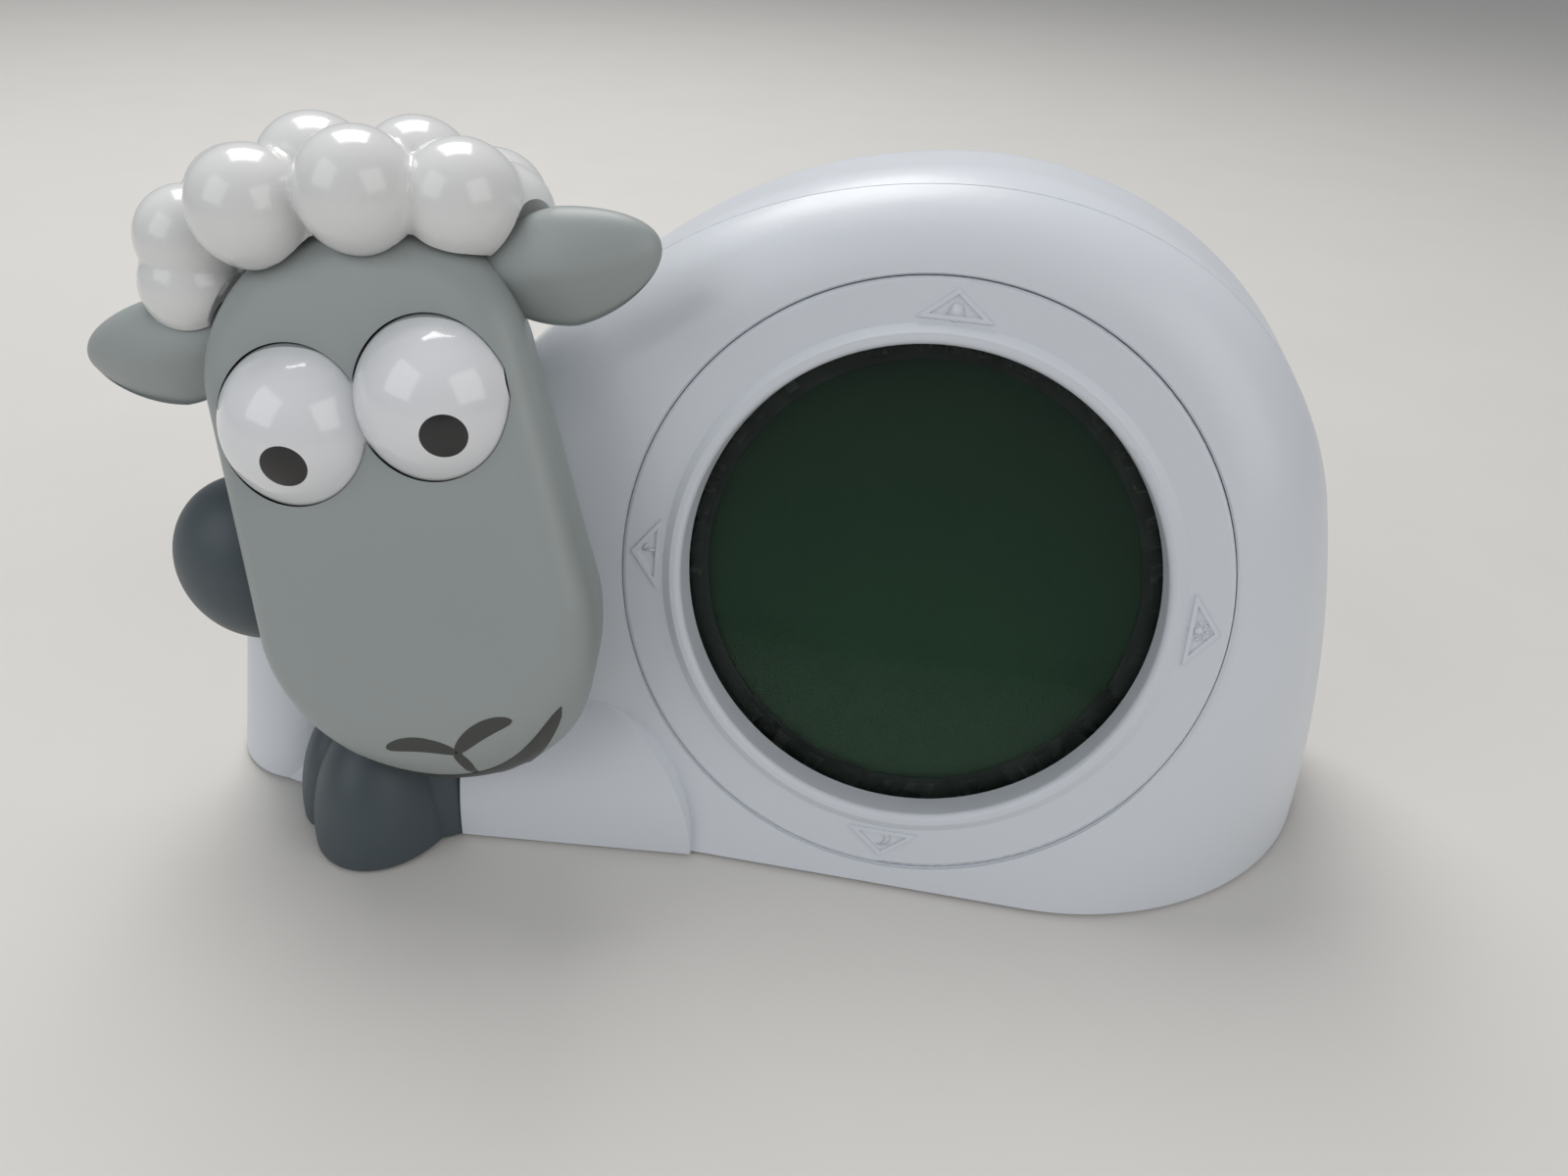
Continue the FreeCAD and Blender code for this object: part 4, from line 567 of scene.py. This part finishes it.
def headSolid(shape, grow=0.0):
    mesh = bmesh.new()
    circle = bmesh.ops.create_circle(mesh, cap_ends=True, radius=0.01, segments=shape["around"])
    turns = [2 * math.pi * index / shape["around"] for index in range(shape["around"])]
    ring = list(zip(circle["verts"], turns))
    placeRing(ring, shape, 0.0, 0.0, grow)
    edges = [edge for edge in mesh.edges]
    steps = [(0.18, 0), (0.36, 0), (0.54, 0), (0.7, 0), (0.85, 0), (1.0, 0)]
    steps += [(2, deep) for deep in (14.0, 19.0, 24.0, 29.0, 31.6)]
    for step, depth in steps:
        grown = bmesh.ops.extrude_edge_only(mesh, edges=edges)
        fresh = [item for item in grown["geom"] if isinstance(item, bmesh.types.BMVert)]
        edges = [item for item in grown["geom"] if isinstance(item, bmesh.types.BMEdge)]
        ring = list(zip(fresh, turns))
        placeRing(ring, shape, step, depth, grow)
    closing = bmesh.ops.extrude_edge_only(mesh, edges=edges)
    fresh = [item for item in closing["geom"] if isinstance(item, bmesh.types.BMVert)]
    edges = [item for item in closing["geom"] if isinstance(item, bmesh.types.BMEdge)]
    middle = Vector((0, shape["back"] * mm, shape["chinMiddle"] * 0.4 * mm))
    for vert in fresh:
        vert.co = middle + (vert.co - middle) * 0.9
        vert.co.y = shape["back"] * mm
    bmesh.ops.contextual_create(mesh, geom=edges)
    bmesh.ops.remove_doubles(mesh, verts=mesh.verts, dist=0.000001)
    bmesh.ops.recalc_face_normals(mesh, faces=mesh.faces)
    return mesh


def earSolid(side, reach, grow=0.0):
    # a flattened ellipsoid whose lower front third turns under
    look = earShape
    mesh = bmesh.new()
    bmesh.ops.create_uvsphere(mesh, u_segments=64, v_segments=40, radius=1.0)
    half = (reach - look["root"]) / 2
    for vert in mesh.verts:
        x, y, z = vert.co
        along = x * side
        taper = 1 - 0.16 * max(0.0, along) - 0.10 * max(0.0, -along)
        fold = 0.0 if grow else max(0.0, look["ridge"] - z) * look["tuck"] * max(0.0, -y) ** 0.5
        vert.co = Vector((
            (half + grow) * x,
            (look["thick"] + grow) * y * taper + look["thick"] * fold,
            (look["tall"] + grow) * z * taper + look["droop"] * along * along,
        )) * mm
    tilt = Matrix.Rotation(math.radians(look["turn"]), 4, "Y")
    spot = Matrix.Translation(Vector((side * (look["root"] + half), look["depth"], look["height"])) * mm)
    bmesh.ops.transform(mesh, matrix=spot @ tilt, verts=mesh.verts)
    bmesh.ops.recalc_face_normals(mesh, faces=mesh.faces)
    return mesh


def meshObject(name, mesh):
    data = bpy.data.meshes.new(name)
    mesh.to_mesh(data)
    mesh.free()
    made = bpy.data.objects.new(name, data)
    bpy.context.scene.collection.objects.link(made)
    return made


def settled(made):
    # the mesh with its modifiers applied
    bpy.context.view_layer.update()
    result = bpy.data.meshes.new_from_object(made.evaluated_get(bpy.context.evaluated_depsgraph_get()))
    made.modifiers.clear()
    made.data = result
    return made


def cutAway(made, tools):
    for tool in tools:
        away = made.modifiers.new("cut", "BOOLEAN")
        away.operation = "DIFFERENCE"
        away.solver = "EXACT"
        away.object = tool
    settled(made)
    for tool in tools:
        bpy.data.objects.remove(tool)
    return made


def finishPiece(made, finish, body, replaced, sharpFrom=40):
    # from the head's frame into the clock's, smooth but for its sharp edges, and onto its body
    made.data.transform(headMatrix)
    made.data.materials.clear()
    made.data.materials.append(finish)
    for polygon in made.data.polygons:
        polygon.use_smooth = True
    made.data.set_sharp_from_angle(angle=math.radians(sharpFrom))
    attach(made, body)
    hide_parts(*replaced)
    return made


def ballTool(x, y, z, radius, end):
    # a ball with a flat on its outer side, as the eye has
    mesh = bmesh.new()
    bmesh.ops.create_uvsphere(mesh, u_segments=96, v_segments=48, radius=radius * mm)
    bmesh.ops.translate(mesh, verts=mesh.verts, vec=Vector((x, y, z)) * mm)
    side = math.copysign(1, x)
    cut = bmesh.ops.bisect_plane(
        mesh, geom=mesh.verts[:] + mesh.edges[:] + mesh.faces[:],
        plane_co=(side * end * mm, 0, 0), plane_no=(side, 0, 0), clear_outer=True,
    )
    rim = [item for item in cut["geom_cut"] if isinstance(item, bmesh.types.BMEdge)]
    bmesh.ops.contextual_create(mesh, geom=rim)
    bmesh.ops.recalc_face_normals(mesh, faces=mesh.faces)
    return meshObject("socketTool", mesh)


headMesh = headSolid(headShape)
headTree = BVHTree.FromBMesh(headMesh)
headShell = meshObject("headShell", headMesh)
eyeTurn = headMatrix.inverted()
eyeReach = max(abs((eyeTurn @ vert.co).x) for vert in nodes["eye_pair"].data.vertices)
eyeEnd = eyeReach / mm + headShape["socketEnd"]
print("eye ends at", round(eyeEnd, 2))
sockets = [
    ballTool(side * headShape["eyeOffset"], headShape["eyeDepth"], 0, headShape["socket"], eyeEnd)
    for side in (-1, 1)
]
cutAway(headShell, sockets)
finishPiece(headShell, faceGrey, "clock", ["head_front_shell", "head_rear_shell"])
print("head made:", len(headShell.data.polygons), "faces")

earShape = {
    "root": 20.0, "thick": 5.6, "tall": 9.4, "depth": 11.0, "height": 16.4, "turn": 4.0,
    "ridge": -0.12, "tuck": 0.9, "droop": 1.2,
}
earReach = {"leftEar": (-1, 53.4, "left_ear"), "rightEar": (1, 52.0, "right_ear")}
for name, (side, reach, node) in earReach.items():
    ear = meshObject(name, earSolid(side, reach))
    finishPiece(ear, faceGrey, "clock", [node], 60)
print("ears made")

tuftShape = {
    "voxel": 0.5, "gap": 0.35, "travel": 1.2,
    "core": (-2.0, 17.0, 29.0, 19.0, 14.0, 9.0),
    # bumps from the brow to the back: x, y, z, radius
    "bumps": (
        (-10.5, 3.0, 34.8, 9.8), (8.6, 2.0, 33.3, 9.85), (22.5, 8.0, 29.3, 9.7), (-26.5, 9.5, 33.2, 9.0),
        (-29.0, 10.0, 26.2, 8.6), (25.4, 15.5, 26.4, 9.0), (-20.0, 17.0, 38.4, 9.6), (-4.0, 14.5, 39.4, 10.0),
        (13.0, 15.5, 35.6, 9.6), (-27.0, 22.0, 30.5, 9.2), (-12.0, 26.0, 35.8, 9.6), (5.5, 27.0, 35.4, 9.8),
        (21.0, 25.0, 30.0, 9.4), (-19.0, 33.0, 28.5, 9.0), (-1.5, 35.5, 29.0, 9.6), (13.5, 33.5, 27.0, 9.0),
    ),
}


def tuftSolid(look):
    mesh = bmesh.new()
    x, y, z, halfX, halfY, halfZ = look["core"]
    stretch = Matrix.Diagonal((halfX * mm, halfY * mm, halfZ * mm, 1))
    core = Matrix.Translation(Vector((x, y, z)) * mm) @ stretch
    bmesh.ops.create_icosphere(mesh, subdivisions=4, radius=1.0, matrix=core)
    for x, y, z, radius in look["bumps"]:
        bmesh.ops.create_icosphere(
            mesh, subdivisions=5, radius=radius * mm, matrix=Matrix.Translation(Vector((x, y, z)) * mm)
        )
    made = meshObject("woolTuft", mesh)
    remesh = made.modifiers.new("whole", "REMESH")
    remesh.mode = "VOXEL"
    remesh.voxel_size = look["voxel"] * mm
    settled(made)
    lift = look["travel"] + look["gap"]
    tools = [meshObject("headTool", headSolid(headShape, look["gap"]))]
    for side, reach, node in earReach.values():
        tools.append(meshObject("earTool", earSolid(side, reach, look["gap"])))
    for tool in tools:
        tool.data.transform(Matrix.Translation((0, 0, lift * mm)))
    return cutAway(made, tools)


tuft = tuftSolid(tuftShape)
finishPiece(tuft, tuftWhite, "tuft", ["wool_tuft"], 75)
print("wool tuft made:", len(tuft.data.polygons), "faces")

printShape = {"proud": 0.06, "ink": 0.12, "ends": 0.06, "rows": 5, "steps": 28}


def crescent(mesh, tree, start, middle, end, thick):
    # a printed stroke along a parabola through three points, widest in its middle, laid on the head
    steps, rows = printShape["steps"], printShape["rows"]
    grid = bmesh.ops.create_grid(mesh, x_segments=steps, y_segments=rows, size=1.0)
    for vert in grid["verts"]:
        t = (vert.co.x + 1) / 2
        bend = Vector(middle) * 2 - (Vector(start) + Vector(end)) / 2
        spot = Vector(start) * (1 - t) ** 2 + bend * 2 * t * (1 - t) + Vector(end) * t * t
        along = ((bend - Vector(start)) * (1 - t) + (Vector(end) - bend) * t).normalized()
        half = thick / 2 * math.sqrt(max(0.0, 4 * t * (1 - t))) + printShape["ends"]
        side = Vector((-along.y, along.x)) * vert.co.y * half
        place = Vector((spot.x + side.x, -40, spot.y + side.y)) * mm
        hit, normal = tree.ray_cast(place, Vector((0, 1, 0)))[:2]
        if hit is None:
            hit, normal = tree.find_nearest(Vector((place.x, 0.008, place.z)))[:2]
        vert.co = hit + normal * printShape["proud"] * mm


mouthMesh = bmesh.new()
mouthStrokes = (
    ((-10.6, -56.0), (-4.2, -56.0), (1.8, -58.8), 2.9),
    ((1.4, -58.8), (7.4, -55.0), (13.6, -53.8), 2.9),
    ((1.6, -58.2), (1.7, -61.0), (1.6, -64.6), 2.0),
    ((-18.6, -57.4), (2.0, -65.9), (21.6, -53.4), 3.0),
)
for start, middle, end, thick in mouthStrokes:
    crescent(mouthMesh, headTree, start, middle, end, thick)
bmesh.ops.recalc_face_normals(mouthMesh, faces=mouthMesh.faces)
mouth = meshObject("noseAndMouth", mouthMesh)
skin = mouth.modifiers.new("ink", "SOLIDIFY")
skin.thickness = printShape["ink"] * mm
skin.offset = -1.0
settled(mouth)
finishPiece(mouth, darkPrint, "clock", ["nose_and_mouth"])
print("nose and mouth laid on the head")

# the far wall of the gap round the control ring, seen as a fine grey line
gapShape = {"inner": 53.95, "outer": 54.3, "deep": 0.55, "tall": 1.2, "around": 160}
gapMesh = bmesh.new()
rings = []
near, far = -gapShape["deep"], -gapShape["deep"] - gapShape["tall"]
for radius, level in (
    (gapShape["inner"], near), (gapShape["outer"], near), (gapShape["outer"], far), (gapShape["inner"], far),
):
    circle = bmesh.ops.create_circle(
        gapMesh, radius=radius * mm, segments=gapShape["around"], matrix=Matrix.Translation((0, 0, level * mm))
    )
    rings.append([edge for edge in gapMesh.edges if all(vert in circle["verts"] for vert in edge.verts)])
for first, second in zip(rings, rings[1:] + rings[:1]):
    bmesh.ops.bridge_loops(gapMesh, edges=first + second)
toObject("ringGapWall", gapMesh, ringWhite, "clock", faceMatrix)


# the floor, the light and the camera

stageLook = {"floor": 3.0, "sky": 0.33, "floorColour": colour(0.68, 0.66, 0.63)}

floorMesh = bmesh.new()
bmesh.ops.create_grid(floorMesh, x_segments=1, y_segments=1, size=stageLook["floor"])
floorData = bpy.data.meshes.new("paleFloor")
floorMesh.to_mesh(floorData)
floorMesh.free()
floor = bpy.data.objects.new("paleFloor", floorData)
bpy.context.scene.collection.objects.link(floor)
floorMaterial, floorTree, floorShader = newMaterial("paleFloor", Roughness=0.7)
floorNoise = addNode(
    floorTree, "ShaderNodeTexNoise", Vector=floorTree.nodes.new("ShaderNodeTexCoord").outputs["Object"],
    Scale=18.0, Detail=4.0,
)
floorShade = addNode(
    floorTree, "ShaderNodeMapRange", Value=floorNoise.outputs["Fac"], To_Min=0.97, To_Max=1.03
)
floorTint = addNode(
    floorTree, "ShaderNodeHueSaturation", Color=stageLook["floorColour"], Value=floorShade.outputs[0]
)
floorTree.links.new(floorTint.outputs["Color"], floorShader.inputs["Base Color"])
floorData.materials.append(floorMaterial)

world = bpy.data.worlds.new("studio")
world.use_nodes = True
bpy.context.scene.world = world
backdrop = world.node_tree.nodes["Background"]
backdrop.inputs["Color"].default_value = colour(0.93, 0.96, 1.0)
backdrop.inputs["Strength"].default_value = stageLook["sky"]

lampSizes = [
    # name, place, watts, width, colour
    ("keyLamp", (-0.35, 0.55, 1.15), 10.0, 0.7, (1.0, 0.99, 0.97)),
    ("fillLamp", (0.95, -0.55, 0.75), 3.6, 0.9, (1.0, 0.98, 0.96)),
    ("frontLamp", (-0.75, -0.85, 0.8), 3.6, 0.9, (0.95, 0.97, 1.0)),
]
lookAt = Vector((0, 0, 0.05))
for name, place, watts, width, tone in lampSizes:
    light = bpy.data.lights.new(name, "AREA")
    light.energy = watts
    light.size = width
    light.color = tone
    lamp = bpy.data.objects.new(name, light)
    lamp.location = place
    lamp.rotation_euler = (lookAt - Vector(place)).to_track_quat("-Z", "Y").to_euler()
    bpy.context.scene.collection.objects.link(lamp)

cameraSet = {
    "place": (0.03427, -0.18625, 0.1675), "down": 32.74, "left": 8.37, "roll": 3.73,
    "lens": 27.0, "sensor": 36.0,
}
cameraData = bpy.data.cameras.new("photoCamera")
cameraData.lens = cameraSet["lens"]
cameraData.sensor_width = cameraSet["sensor"]
cameraData.clip_start = 0.01
camera = bpy.data.objects.new("photoCamera", cameraData)
cameraTurn = Euler((math.radians(90 - cameraSet["down"]), 0, math.radians(cameraSet["left"]))).to_matrix()
cameraTurn = cameraTurn @ Matrix.Rotation(math.radians(cameraSet["roll"]), 3, "Z")
camera.matrix_world = Matrix.Translation(cameraSet["place"]) @ cameraTurn.to_4x4()
bpy.context.scene.collection.objects.link(camera)
bpy.context.scene.camera = camera
bpy.context.scene.view_settings.view_transform = "Standard"
print("stage, lamps and camera set")
